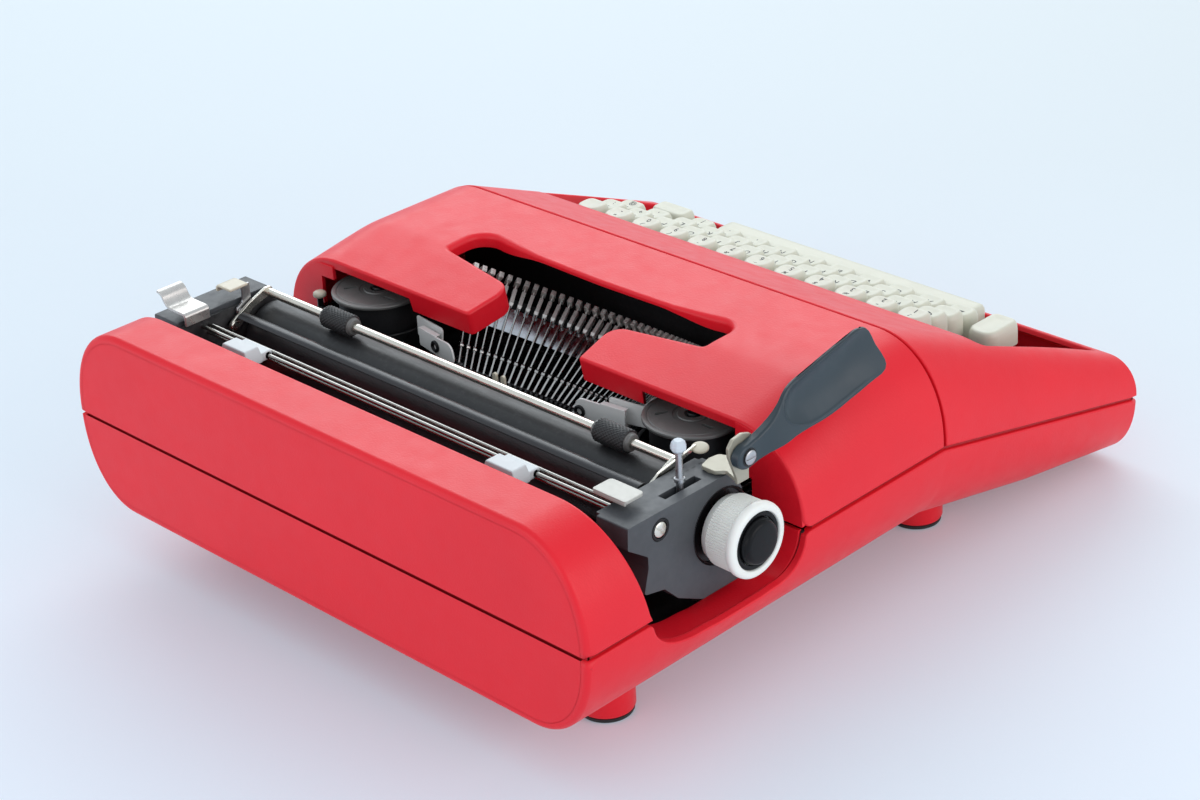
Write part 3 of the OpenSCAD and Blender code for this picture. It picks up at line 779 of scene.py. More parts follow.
tc = panel(tc_out, [], tc_base, lambda u: (0, u, -20), tc_r,
           tc_D, steiner=grid_pts(frange(-226, -178, 5) + frange(-176, -164, 8) + [-158, -150, -142, -136], vs_full), drop=None)
shell_obj("ribbon_cover_shell", tc, RED, "casing_red", "cover", ("top_cover",))

# closing walls at the rear ends of the cover, beside the carriage passage
for s in (-1, 1):
    x0 = 131.5 if s < 0 else 143.0
    arc = [up_pt(a, 0, ZG, 41.9, 40.0) for a in frange(131, 199.5, 30)]
    poly = [(x - 0.9, z - 1.2) for x, y, z in arc if x - 0.9 > x0 + 0.5 and z - 1.2 > 2.2]
    poly = [(131.6 if s < 0 else 134.0, poly[0][1] + 0.2)] + poly + [(168.6, 2.0), (140.5 if s < 0 else 148.6, 2.0), (140.5 if s < 0 else 148.6, 16.0), (x0, 16.0)] + ([(143.0, 31.0), (134.0, 31.0)] if s > 0 else [])
    bevel(obj("cover_end_wall_" + ("l" if s < 0 else "r"), *extrude_y([(s * x, z) for x, z in poly], -132.06, -134.2), RED, "cover", "casing_red"), 0.25, 2)


# ---- keyboard surround
def ks_ca(y):
    return lerp3(y, 40.0, 29.5, 17.0)


def ks_base(u, v):
    return up_pt(v, u, zpart(u) + ZG, zslope(u), ks_ca(u))


def ks_v(x, y):
    ca = ks_ca(y)
    fl = HW - ca
    a = abs(x)
    s = 1 if x >= 0 else -1
    if a <= fl:
        return s * a * 130 / fl
    t = math.asin(min(1.0, ((a - fl) / ca) ** (1 / E))) / (pi / 2)
    return s * (130 + 70 * t)


well = dense(rpoly([(-148, -284, 5), (-148, -380.3, 4), (148, -380.3, 4), (148, -284, 5)], 7), 5)
ks_hole = [(y, ks_v(x, y)) for x, y in well]
ks_out = [(-230.9, v) for v in vs_fine] + dense([(-230.9, 200.0), (-LEN, 200.0)], 6, False)[1:-1] + \
    [(-LEN, v) for v in vs_fine[::-1]] + dense([(-LEN, -200.0), (-230.9, -200.0)], 6, False)[1:-1]
ks = panel(ks_out, [ks_hole], ks_base, lambda u: (0, u, -60), lambda u, v: 2.0 if u < -384.5 else (0.8 if (u > -231.5 or abs(v) > 199) else 1.3),
           lambda u, v: 4.2 if (u < -384.5 or u > -231.5 or abs(v) > 199) else 15.0 - 11.8 * ease((-368.0 - u) / 9.0),
           steiner=grid_pts(frange(-236, -312, 9) + frange(-315, -382, 8), vs_full), drop=None)
V, N, F = ks
fr = [up_pt(v, 0, zpart(-LEN) + ZG, zslope(-LEN), 17.0) for v in vs_fine]
zq = zpart(-LEN) + ZG
ins = [(x * (HW - 4) / HW, zq + (z - zq) * (zslope(-LEN) - zq - 4) / (zslope(-LEN) - zq)) for x, y, z in fr]
pv, pf = extrude_y(ins, -LEN, -LEN + 2.2)
k0 = len(V)
V += pv
N += [(0, -1, 0)] * len(ins) + [(0, 1, 0)] * len(ins)
F += [tuple(i + k0 for i in f) for f in pf[:2]]
shell_obj("keyboard_surround_shell", (V, N, F), RED, "casing_red", "body", ("keyboard_surround",), (panel.inner, panel.end))


# ---- bottom shell
def bs_cb(y):
    return 35.0 if y > -STR else lerp3(y, 35.0, 28.0, 22.0)


def bs_base(u, v):
    return lo_pt(v, u, zpart(u) - ZG, zunder(u), bs_cb(u))


def bs_v(y, z):
    zp, zb = zpart(y) - ZG, zunder(y)
    q = max(0.0, min(1.0, (zp - z) / (zp - zb)))
    t = math.acos(min(1.0, q ** (1 / E))) / (pi / 2)
    return 130 + 62 * t


def bez(a, b, c, n=5):
    return [((1 - t) ** 2 * a[0] + 2 * t * (1 - t) * b[0] + t * t * c[0], (1 - t) ** 2 * a[1] + 2 * t * (1 - t) * b[1] + t * t * c[1])
            for t in [i / n for i in range(n + 1)]]


def scoop(n=18, inset=0.0):
    a = [(-72 + (33.5 - inset) * math.cos(t), (21 - inset) * math.sin(t)) for t in frange(math.radians(-11), -pi / 2, n)]
    b = [(-118 + (15.5 - inset) * math.cos(t), (21 - inset) * math.sin(t)) for t in frange(-pi / 2, math.radians(-169), n)]
    mid = [(y, z - ease((-72 - y) / 11.0) * ease((y + 118) / 11.0)) for y, z in dense([a[-1], b[0]], 3, False)[1:-1]]
    return a + mid + b


sc = scoop()
rim = dense([(0.0, -ZG), (-35.5, -ZG)], 6, False)[:-1] + bez((-35.5, -ZG), (-38.7, -ZG), sc[0])[:-1] + sc + \
    bez(sc[-1], (-133.6, -ZG), (-137.0, -ZG))[1:-1] + dense([(-137.0, -ZG), (-STR, -ZG)], 6, False)[:-1] + \
    dense([(-STR, -ZG), (-LEN, zpart(-LEN) - ZG)], 6, False)
rim_uv = [(y, bs_v(y, min(z, zpart(y) - ZG - 1e-6))) for y, z in rim]
ws = [-192 + 62 * k / 26 for k in range(27)] + frange(-122, 122, 24) + [130 + 62 * k / 26 for k in range(27)]
bs_out = [(u, v) for u, v in rim_uv] + [(-LEN, v) for v in ws[::-1][1:-1]] + [(u, -v) for u, v in reversed(rim_uv)] + [(0.0, v) for v in ws[1:-1]]
vs_low = [-a for a in arc_w[::-1]] + flat_v + arc_w
bs = panel(bs_out, [], bs_base, lambda u: (0, u, 0), lambda u, v: 2.6 if (u > -0.5 or u < -384.5) else 0.8,
           lambda u, v: 3.4 if -137 < u < -35 else 4.2,
           steiner=grid_pts(frange(-5, -225, 26) + [-229, -231] + frange(-238, -308, 8) + [-312, -314] + frange(-320, -380, 7), vs_low))
V, N, F = bs
V = [(x, max(-LEN, y), z) for x, y, z in V]
for (yy, dy, sgn) in ((0.0, -2.2, 1), (-LEN, 2.2, -1)):
    zp, zb, cb = zpart(yy) - ZG, zunder(yy), bs_cb(yy)
    ed = [lo_pt(v, yy, zp, zb, cb) for v in ws]
    ins = inset_arc([(x, z) for x, y, z in ed], 3.7, -1)
    pv, pf = extrude_y(ins, yy, yy + dy)
    k0 = len(V)
    V += pv
    N += [(0, sgn, 0)] * len(ins) + [(0, -sgn, 0)] * len(ins)
    F += [tuple(i + k0 for i in f) for f in pf[:2]]
shell_obj("bottom_shell_skin", (V, N, F), RED, "casing_red", "body", ("bottom_shell",), (panel.inner, panel.end))

# lip that closes the parting groove from inside, in the darker red that paints in shade
bag = Bag()
for s in (-1, 1):
    for (ya, yb) in ((-2.0, -36.0), (-139.0, -STR), (-STR, -LEN + 2.0)):
        ys = dense([(ya, 0), (yb, 0)], 20, False)
        v, f = [], []
        for (y, _) in ys:
            z = zpart(y)
            for (dx, dz) in ((168.2, -7.0), (168.2, 0.55), (166.8, 0.55), (166.8, -7.0)):
                v.append((s * dx, y, z + dz))
        n = len(ys)
        for i in range(n - 1):
            for k in range(4):
                a, b = i * 4 + k, i * 4 + (k + 1) % 4
                f.append((a, b, b + 4, a + 4))
        f += [(0, 1, 2, 3), tuple((n - 1) * 4 + k for k in (0, 1, 2, 3))]
        bag.add(v, f)
bag.add(*rbox(-168.2, 168.2, -3.2, -1.8, -7.0, 0.55))
bag.add(*rbox(-168.2, 168.2, -LEN + 1.8, -LEN + 3.2, zpart(-LEN) - 7.0, zpart(-LEN) + 0.55))
bag.obj("parting_lip", RED_SHADED, "body", "casing_red", smooth=False)
# lip behind the joint between cover and surround, in the darker red that paints in shade
arc = [up_pt(v, -230, ZG, TOP, 40.0) for v in vs_fine]
v, f = [], []
for (x, y, z) in arc:
    for k in (2.0, 3.4):
        v += [(x * (HW - k) / HW, -229.6, ZG + (z - ZG) * (TOP - ZG - k) / (TOP - ZG)), (x * (HW - k) / HW, -236.0, ZG + (z - ZG) * (TOP - ZG - k) / (TOP - ZG) - 1.6)]
for i in range(len(arc) - 1):
    a = i * 4
    for (p, q) in ((0, 1), (1, 3), (3, 2), (2, 0)):
        f.append((a + p, a + q, a + 4 + q, a + 4 + p))
f += [(0, 1, 3, 2), tuple((len(arc) - 1) * 4 + k for k in (0, 1, 3, 2))]
obj("surround_lip", v, f, RED_SHADED, "body", "casing_red")

# troughs under the carriage ends, each with a black strip of painted shade in the joint to the side wall
def side_x(z):
    """Half width of the outer skin at a height below the parting line."""
    q = max(0.0, min(1.0, (-ZG - z) / (LOW - ZG)))
    return HW - 35.0 + 35.0 * max(0.0, math.sin(math.acos(min(1.0, q ** (1 / E))))) ** E


def trough(name, s, a, b, x_in, gap, mat, slot, w):
    n = len(a)
    m = 2 * n
    xs = [side_x(z) - gap for y, z in a]
    v, f = [], []
    for end in (0, 1):
        for lp in (a, b):
            v += [(s * (xs[i] if end == 0 else (x_in or xs[i] - 2.2)), lp[i][0], lp[i][1]) for i in range(n)]
    for i in range(n - 1):
        f += [(i, i + 1, m + i + 1, m + i), (n + i, m + n + i, m + n + i + 1, n + i + 1), (i, n + i, n + i + 1, i + 1), (m + i, m + i + 1, m + n + i + 1, m + n + i)]
    f += [(0, m, m + n, n), (n - 1, 2 * n - 1, m + 2 * n - 1, m + n - 1)]
    bevel(obj(name, v, f, mat, "body", slot), w, 2, 50)


for s in (-1, 1):
    low = [(-36.6, -0.9)] + scoop(18, -1.9) + [(-135.4, -0.9)]
    trough("trough_" + ("l" if s < 0 else "r"), s, [(-38.7, -0.9)] + scoop(18, 0.3) + [(-133.2, -0.9)], low, 148.5, 4.2, RED, "casing_red", 0.35)
    # black strip in the groove paints in the shade of the gap
    trough("passage_shade_strip_" + ("l" if s < 0 else "r"), s, [(-37.7, -1.5)] + scoop(18, -0.9) + [(-134.2, -1.5)], low, None, 2.5, FOOTR, "foot_rubber", 0.1)

# ------------------------------------------------------------------ tools for the works
def carve(vf, cutters):
    """Solid with other solids taken out of it."""
    def temp(v, f):
        me = bpy.data.meshes.new("carve_tmp")
        me.from_pydata([Vector(q) for q in v], [], f)
        bm = bmesh.new()
        bm.from_mesh(me)
        bmesh.ops.remove_doubles(bm, verts=bm.verts, dist=1e-4)
        bmesh.ops.recalc_face_normals(bm, faces=bm.faces)
        bm.to_mesh(me)
        bm.free()
        o = bpy.data.objects.new("carve_tmp", me)
        bpy.context.collection.objects.link(o)
        return o
    a = temp(*vf)
    cs = []
    for c in cutters:
        o = temp(*c)
        m = a.modifiers.new("cut", "BOOLEAN")
        m.operation = "DIFFERENCE"
        m.solver = "EXACT"
        m.object = o
        cs.append(o)
    ev = a.evaluated_get(bpy.context.evaluated_depsgraph_get())
    me = ev.to_mesh()
    v = [tuple(q.co) for q in me.vertices]
    f = [tuple(p.vertices) for p in me.polygons]
    ev.to_mesh_clear()
    for o in cs + [a]:
        me = o.data
        bpy.data.objects.remove(o)
        bpy.data.meshes.remove(me)
    return v, f


def sharp(ob, deg=35.0):
    ob.data.set_sharp_from_angle(angle=math.radians(deg))
    return ob


def circle(cx, cy, r, n=48, a0=0.0):
    return [(cx + r * math.cos(a0 + 2 * pi * i / n), cy + r * math.sin(a0 + 2 * pi * i / n)) for i in range(n)]


def rodx(x0, x1, y, z, r, n=48):
    return extrude_x(circle(y, z, r, n), x0, x1)


def loft(rings, cap0=True, cap1=True):
    """Skin through rings of equal length."""
    v, f = [], []
    n = len(rings[0])
    for rg in rings:
        v += [tuple(p) for p in rg]
    for k in range(len(rings) - 1):
        for i in range(n):
            j = (i + 1) % n
            f.append((k * n + i, k * n + j, (k + 1) * n + j, (k + 1) * n + i))
    if cap0:
        f.append(tuple(range(n))[::-1])
    if cap1:
        f.append(tuple(range((len(rings) - 1) * n, len(rings) * n)))
    return v, f


def strip(path, t, w0, w1, axis):
    """Bent sheet: centre line in two axes, thickness t, drawn from w0 to w1 along the third."""
    n = len(path)
    nr = []
    for i in range(n):
        a, b = path[max(i - 1, 0)], path[min(i + 1, n - 1)]
        d = (b[0] - a[0], b[1] - a[1])
        L = math.hypot(*d)
        nr.append((-d[1] / L * t / 2, d[0] / L * t / 2))
    poly = [(p[0] + q[0], p[1] + q[1]) for p, q in zip(path, nr)] + [(p[0] - q[0], p[1] - q[1]) for p, q in reversed(list(zip(path, nr)))]
    return {"x": extrude_x, "y": extrude_y, "z": extrude_z}[axis](poly, w0, w1)


def screw_head(x, y, z, r, h, axis=-1, tilt=0.6):
    """Domed slotted head that faces along X."""
    prof = [(0, r), (axis * h * 0.55, r), (axis * h * 0.85, r * 0.9), (axis * h, r * 0.62), (axis * h * 1.04, 0.0)]
    v, f = lathe([(0, 0.0)] + prof, 40, (x, y, z))
    c, s = math.cos(tilt), math.sin(tilt)
    q = [(-r * 1.3, -r * 0.13), (r * 1.3, -r * 0.13), (r * 1.3, r * 0.13), (-r * 1.3, r * 0.13)]
    q = [(y + a * c - b * s, z + a * s + b * c) for a, b in q]
    return carve((v, f), [extrude_x(q, x + axis * h * 0.5, x + axis * h * 1.6)])


# ------------------------------------------------------------------ keyboard
PITCH, KW, KD, KH = 19.5, 16.4, 15.4, 12.0
ROW_Y, ROW_Z, ROW_X = (-293.0, -312.0, -331.0, -350.0), (24.0, 16.0, 8.0, 0.0), (-101.3, -96.4, -91.6, -86.7)
FUY, FUZ = -62.0, -28.5


def kx(r, i):
    return ROW_X[r] + PITCH * i


DISH = [(0.0, -1.6), (0.7, -1.0), (1.15, -0.46), (1.8, -0.12), (2.5, 0.0), (3.6, -0.16), (5.2, -0.46), (6.6, -0.60)]


def outline(x, y, w, d, rf, rr, e):
    h, g = w / 2 - e, d / 2 - e
    return rpoly([(x - h, y - g, max(rf - e, 0.5)), (x + h, y - g, max(rf - e, 0.5)), (x + h, y + g, max(rr - e, 0.5)), (x - h, y + g, max(rr - e, 0.5))], 6)


def cap_solid(x, y, z, w=KW, d=KD, rf=5.0, rr=7.2, h=KH, dish=1.0):
    rings = [(0.0, -h), (0.0, -h + 0.5), (0.12, -6.0), (0.4, -2.6)] + [(0.4 + a * 0.94, b if b > -0.6 and a < 2.4 else (b if a < 2.4 else b * dish)) for a, b in DISH[1:]]
    rg = []
    for e, dz in rings:
        e = min(e, min(w, d) / 2 - 0.6)
        rg.append([(px, py, z + dz) for px, py in outline(x, y, w, d, rf, rr, e)])
    return loft(rg)


def dish_z(lx, ly, w, d):
    e = (min(w / 2 - abs(lx), d / 2 - abs(ly)) - 0.4) / 0.94
    for (a, za), (b, zb) in zip(DISH, DISH[1:]):
        if e < b:
            return za + (zb - za) * max(0.0, (e - a) / (b - a))
    return DISH[-1][1]


def lever_solids(x, y, z):
    """Bar from the fulcrum and stem up to the cap."""
    top = z - KH + 0.4
    prof = [(y - 3, FUZ - 2.5), (FUY + 3.5, FUZ - 2.5), (FUY + 4, FUZ - 1.5), (FUY + 4, FUZ + 1.8), (FUY + 2.6, FUZ + 2.5), (y + 4.6, FUZ + 2.5), (y + 3, FUZ + 4.5), (y + 3, top), (y - 3, top)]
    return extrude_x(prof, x - 0.8, x + 0.8)


GLYPH = {}


def glyph(ch, size):
    """Flat outline of one plain character, centred."""
    if ch not in GLYPH:
        cu = bpy.data.curves.new("glyph_tmp", "FONT")
        cu.body = ch
        cu.size = 1.0
        cu.resolution_u = 3
        cu.extrude = 0.02
        cu.align_x = "CENTER"
        o = bpy.data.objects.new("glyph_tmp", cu)
        bpy.context.collection.objects.link(o)
        ev = o.evaluated_get(bpy.context.evaluated_depsgraph_get())
        me = ev.to_mesh()
        v = [tuple(q.co) for q in me.vertices]
        f = [tuple(p.vertices) for p in me.polygons]
        ev.to_mesh_clear()
        bpy.data.objects.remove(o)
        bpy.data.curves.remove(cu)
        xs = [q[0] for q in v] or [0]
        ys = [q[1] for q in v] or [0]
        cx, cy = (min(xs) + max(xs)) / 2, (min(ys) + max(ys)) / 2
        GLYPH[ch] = ([(a - cx, b - cy, c) for a, b, c in v], f)
    v, f = GLYPH[ch]
    return [(a * size, b * size, c * size) for a, b, c in v], f


def legend(bag, ch, x, y, z, dx, dy, size, w=KW, d=KD):
    v, f = glyph(ch, size)
    out = []
    for a, b, c in v:
        lx, ly = a + dx, b + dy
        out.append((x + lx, y + ly, z + dish_z(lx, ly, w, d) + (0.07 if c > 0 else -0.12)))
    bag.add(out, f)


LEG = [[("1", "!"), ("2", '"'), ("3", "#"), ("4", "$"), ("5", "%"), ("6", "_"), ("7", "&"), ("8", "'"), ("9", "("), ("0", ")"), ("-", "*")],
       [("Q",), ("W",), ("E",), ("R",), ("T",), ("Y",), ("U",), ("I",), ("O",), ("P",), ("+", "="), (":", ";")],
       [None, ("A",), ("S",), ("D",), ("F",), None, ("H",), ("J",), ("K",), ("L",), (",", "<"), ("@", "^")],
       [("Z",), ("X",), ("C",), ("V",), ("B",), ("N",), ("M",), (",", "?"), (".", ">"), ("/", "|")]]


def put_legend(bag, lg, x, y, z):
    if len(lg) == 2:
        legend(bag, lg[1], x, y, z, 0.0, 2.5, 4.3)
        legend(bag, lg[0], x, y, z, 0.0, -2.7, 4.3)
    else:
        legend(bag, lg[0], x, y, z, -0.6, 1.1, 5.4)


for r in range(4):
    bag, ink = Bag(), Bag()
    skip = {0: (), 1: (), 2: (0, 5), 3: ()}[r]
    for i in range((11, 12, 12, 10)[r]):
        if i in skip:
            continue
        bag.add(*cap_solid(kx(r, i), ROW_Y[r], ROW_Z[r]))
        put_legend(ink, LEG[r][i], kx(r, i), ROW_Y[r], ROW_Z[r])
    sharp(bag.obj("key_caps_%d" % (r + 1), IVORY, "row_%d" % (r + 1), "ivory_key", swaps=("key_row_%d" % (r + 1),)), 50)
    ink.obj("key_legends_%d" % (r + 1), INK, "row_%d" % (r + 1), "black_plastic", smooth=False)


def single_key(name, body, node, x, y, z, w=KW, d=KD, off=0.0, lg=None, **k):
    sharp(obj(name, *cap_solid(x, y, z, w, d, **k), IVORY, body, "ivory_key", swaps=(node,)), 50)
    bevel(obj(name + "_lever", *lever_solids(x + off, y, z), STEEL, body, "steel"), 0.2, 2)
    if lg:
        ink = Bag()
        put_legend(ink, lg, x, y, z)
        ink.obj(name + "_legend", INK, body, "black_plastic", smooth=False)


single_key("letter_key_cap", "letter_key", "strike_key", kx(2, 5), ROW_Y[2], ROW_Z[2], lg=("G",))
single_key("backspace_cap", "backspace", "backspace_key", kx(0, 11), ROW_Y[0], ROW_Z[0])
single_key("shift_lock_cap", "lock", "shift_lock_key", kx(2, 0), ROW_Y[2], ROW_Z[2])
single_key("shift_left_cap", "shift_l", "shift_key_left", -111.0, -344.0, 2.0, 17.0, 26.0)
single_key("shift_right_cap", "shift_r", "shift_key_right", 112.5, -354.0, 1.0, 25.0, 13.6, -3.5, rf=4.0, rr=5.0)
rg = []
for e, dz in [(0.5, -10.0), (0.0, -9.4), (0.0, -4.0), (0.3, -2.2), (1.0, -1.0), (2.2, -0.35), (4.0, -0.05), (6.4, 0.0)]:
    rg.append([(px, py, -8.0 + dz) for px, py in outline(4.0, -370.5, 174.0, 16.0, 4.0, 5.0, e)])
sharp(obj("space_bar_cap", *loft(rg), IVORY, "space", "ivory_key", swaps=("space_bar",)), 50)
bag = Bag()
for x in (-64.5, 72.0):
    bag.add(*lever_solids(x, -370.0, -5.5))
bevel(bag.obj("space_bar_levers", STEEL, "space", "steel"), 0.2, 2)


# ------------------------------------------------------------------ type basket
BL, LEAN, SWING, BP = 58.0, math.radians(33.0), math.radians(119.0), math.radians(3.2)


def seg_pt(x, y, z):
    c, s = math.cos(LEAN), math.sin(LEAN)
    return (x + XC, y * c - z * s - 118.5, y * s + z * c + 15.5)


def bar_pt(t, b):
    x, y, z = b
    c, s = math.cos(SWING), math.sin(SWING)
    y, z = y * c - z * s - BL, y * s + z * c
    ct, st = math.cos(t), math.sin(t)
    return seg_pt(x * ct - y * st, x * st + y * ct, z)


def tbox(t, w0, w1, y0, y1, z0, z1, z2=None, z3=None):
    """Tapered block along a bar."""
    z2 = z0 if z2 is None else z2
    z3 = z1 if z3 is None else z3
    v = [(-w0, y0, z0), (w0, y0, z0), (w0, y0, z1), (-w0, y0, z1), (-w1, y1, z2), (w1, y1, z2), (w1, y1, z3), (-w1, y1, z3)]
    f = [(0, 3, 2, 1), (4, 5, 6, 7), (0, 1, 5, 4), (1, 2, 6, 5), (2, 3, 7, 6), (3, 0, 4, 7)]
    return [bar_pt(t, q) for q in v], f


def pivot_ring(t, r, w, y, z, n=14):
    v = [bar_pt(t, (s * w, y + r * math.cos(2 * pi * i / n), z + r * math.sin(2 * pi * i / n))) for s in (-1, 1) for i in range(n)]
    f = [tuple(range(n)), tuple(range(2 * n - 1, n - 1, -1))] + [(i, (i + 1) % n, n + (i + 1) % n, n + i) for i in range(n)]
    return v, f


def one_bar(bars, heads, t):
    bars.add(*tbox(t, 0.55, 0.55, 3.2, 14.0, -1.5, 1.5, -1.35, 1.5))
    bars.add(*pivot_ring(t, 1.75, 0.95, 14.6, 0.0))
    bars.add(*tbox(t, 0.45, 0.45, 14.6, 45.0, -1.15, 1.45, -0.9, 1.3))
    heads.add(*tbox(t, 0.85, 1.15, 43.6, 45.2, -1.3, 1.5, -1.9, 1.7))
    heads.add(*tbox(t, 0.95, 0.95, 45.2, 53.2, -1.6, 1.6, -1.9, 1.3))
    heads.add(*tbox(t, 0.32, 0.32, 53.1, 55.2, -1.0, 0.5))
    heads.add(*tbox(t, 1.25, 1.2, 55.0, 58.0, -4.7, 1.0, -4.7, 1.1))
    for (a, b) in ((55.25, 56.3), (56.75, 57.8)):
        heads.add(*tbox(t, 0.62, 0.62, a, b, -5.0, -4.6))
        heads.add(*tbox(t, 0.2, 0.2, a + 0.1, b - 0.1, -5.0, -4.9))


bars, heads = Bag(), Bag()
for i in range(-20, 21):
    if i:
        one_bar(bars, heads, i * BP)
bevel(bars.obj("typebar_set", BARM, "body", "steel", swaps=("typebars",)), 0.12, 1)
bevel(heads.obj("type_heads", HEADM, "body", "steel"), 0.16, 1)
bars, heads = Bag(), Bag()
one_bar(bars, heads, 0.0)
bars.add(*tbox(0.0, 0.5, 0.55, -0.4, 3.4, -1.7, 1.7, -1.5, 1.5))
bars.add(*pivot_ring(0.0, 2.2, 0.5, 0.0, 0.0, 20))
bevel(bars.obj("strike_bar", BARM, "typebar", "steel", swaps=("strike_typebar",)), 0.12, 1)
bevel(heads.obj("strike_head", HEADM, "typebar", "steel"), 0.16, 1)


def under(z):
    return BL + 1.7 + 0.554 * z


def seg_sweep(prof, a0, a1, n):
    """Section (radius, height) carried round the segment's axis."""
    rg = []
    for t in frange(math.radians(a0), math.radians(a1), n):
        rg.append([seg_pt(p * math.sin(t), -p * math.cos(t), z) for p, z in prof])
    return loft(rg)


sharp(obj("type_rest_band", *seg_sweep([(under(26) + 0.5, 26), (under(37.5) + 0.5, 37.5), (under(37.5) + 1.3, 37.5), (under(26) + 1.3, 26)], -65, 65, 64), BAND, "body", "steel"), 40)
bag = Bag()
bag.add(*seg_sweep(rpoly([(under(38) + 0.5, 37.7, 0.3), (under(42) + 0.5, 42, 0.8), (under(42) + 4.5, 42, 1.4), (under(42) + 4.5, 38.5, 1.0), (under(38) + 2, 37.7, 0.3)], 4), -65, 65, 64))
sharp(bag.obj("type_rest_pad", FELT, "body", "black_plastic", swaps=("type_rest",)), 40)
bevel(obj("type_rest_leg", *extrude_x([(-221.9, -12.0), (-211.2, -12.0), (-211.2, 0.8), (-214, 1.0), (-221.9, -2.0)], XC - 14, XC + 14), CHASSIS_AND_SHADE_BLACK, "body", "black_paint"), 0.5, 2)

# segment: toothed arc that carries the bars
bag = Bag()
for i in range(-21, 21):
    t0, t1 = (i + 0.5 - 0.5) * BP + 0.7 / 56, (i + 1) * BP - 0.7 / 56
    rg = []
    for t in frange(t0, t1, 2):
        rg.append([seg_pt(p * math.sin(t), -p * math.cos(t), z) for p, z in ((50, -4), (50, 3.2), (51, 4), (61, 4), (62, 3), (62, -3), (61, -4))])
    bag.add(*loft(rg))
bag.add(*seg_sweep([(50.3, -3.9), (50.3, -2.3), (53.4, -2.5), (56.4, -3.9)], -67, 67, 60))
bag.add(*seg_sweep([(61.9, -1.2), (60.6, -3.8), (61.9, -3.0)], -67, 67, 60))
for s in (-1, 1):
    bag.add(*rbox(XC + s * 22.4 - 2.3, XC + s * 22.4 + 2.3, -168, -160, -22, -14.5))
bevel(bag.obj("segment_teeth", SEGM, "body", "steel", swaps=("type_segment",)), 0.15, 1)


# ------------------------------------------------------------------ ribbon works
SPX, SPY = (-98.0, 112.0), -142.0
for s, x in zip(("left", "right"), SPX):
    prof = [(8.0, 3.1), (8.0, 22.6), (8.3, 23.1), (8.9, 23.2), (9.4, 22.9), (9.4, 12.5), (28.0, 12.5), (28.0, 22.8), (28.5, 23.15), (29.2, 23.2), (29.75, 22.9),
            (29.95, 22.3), (29.85, 21.0), (29.6, 20.7), (29.6, 20.3), (29.85, 20.0), (29.9, 9.5), (29.6, 9.2), (29.6, 7.4), (30.0, 7.0), (30.0, 4.2), (29.6, 3.6), (29.0, 3.1), (8.0, 3.1)]
    v, f = lathe(prof, 96, (x, SPY, 0), "z")
    slots = []
    for k in range(3):
        a = 2 * pi * k / 3 + 0.5
        slots.append(extrude_z([(x + rr * math.cos(a + b), SPY + rr * math.sin(a + b)) for rr, b in ((11.5, 0.0), (16.5, 0.16), (17.1, 0.22), (16.9, 0.30), (16.2, 0.30), (11.3, 0.13))], 27.5, 31))
    sharp(obj("ribbon_spool_" + s + "_lid", *carve((v, f), slots), SPOOL, "spool_" + s, "spool_grey", swaps=("ribbon_spool_" + s,)), 28)
    wind = [(9.6, 12.7)] + [(9.6, 19.6)] + [(9.6 + 18.2 * k / 26, 19.8 + (0.16 if k % 2 else -0.1)) for k in range(27)] + [(27.8, 19.6), (27.8, 12.7), (9.6, 12.7)]
    obj("ribbon_wind_" + s, *lathe(wind, 72, (x, SPY, 0), "z"), RIBBON, "spool_" + s, "black_plastic")
bag = Bag()
for x in SPX:
    bag.add(*lathe([(4.0, 0.0), (4.0, 25.2), (4.6, 26.0), (5.6, 26.2), (14.6, 26.2), (15.4, 26.6), (15.9, 26.4), (16.0, 25.8), (15.6, 25.0), (15.0, 24.7), (6.2, 24.7), (5.6, 24.0), (5.5, 3.1), (5.5, 0.0)], 96, (x, SPY, 0), "z"))
    bag.add(*lathe([(0.0, 0.0), (0.0, 3.0), (30.0, 3.0), (30.7, 2.6), (31.0, 1.8), (31.0, 0.0)], 40, (x, SPY, 0), "z"))
    v, f = rbox(x - 7, x + 7, SPY - 9, SPY + 3, -21.5, 4.2)
    bag.add(v, f)
sharp(bag.obj("ribbon_cups", BLACKPL, "body", "black_plastic", swaps=("spool_cups",)), 35)

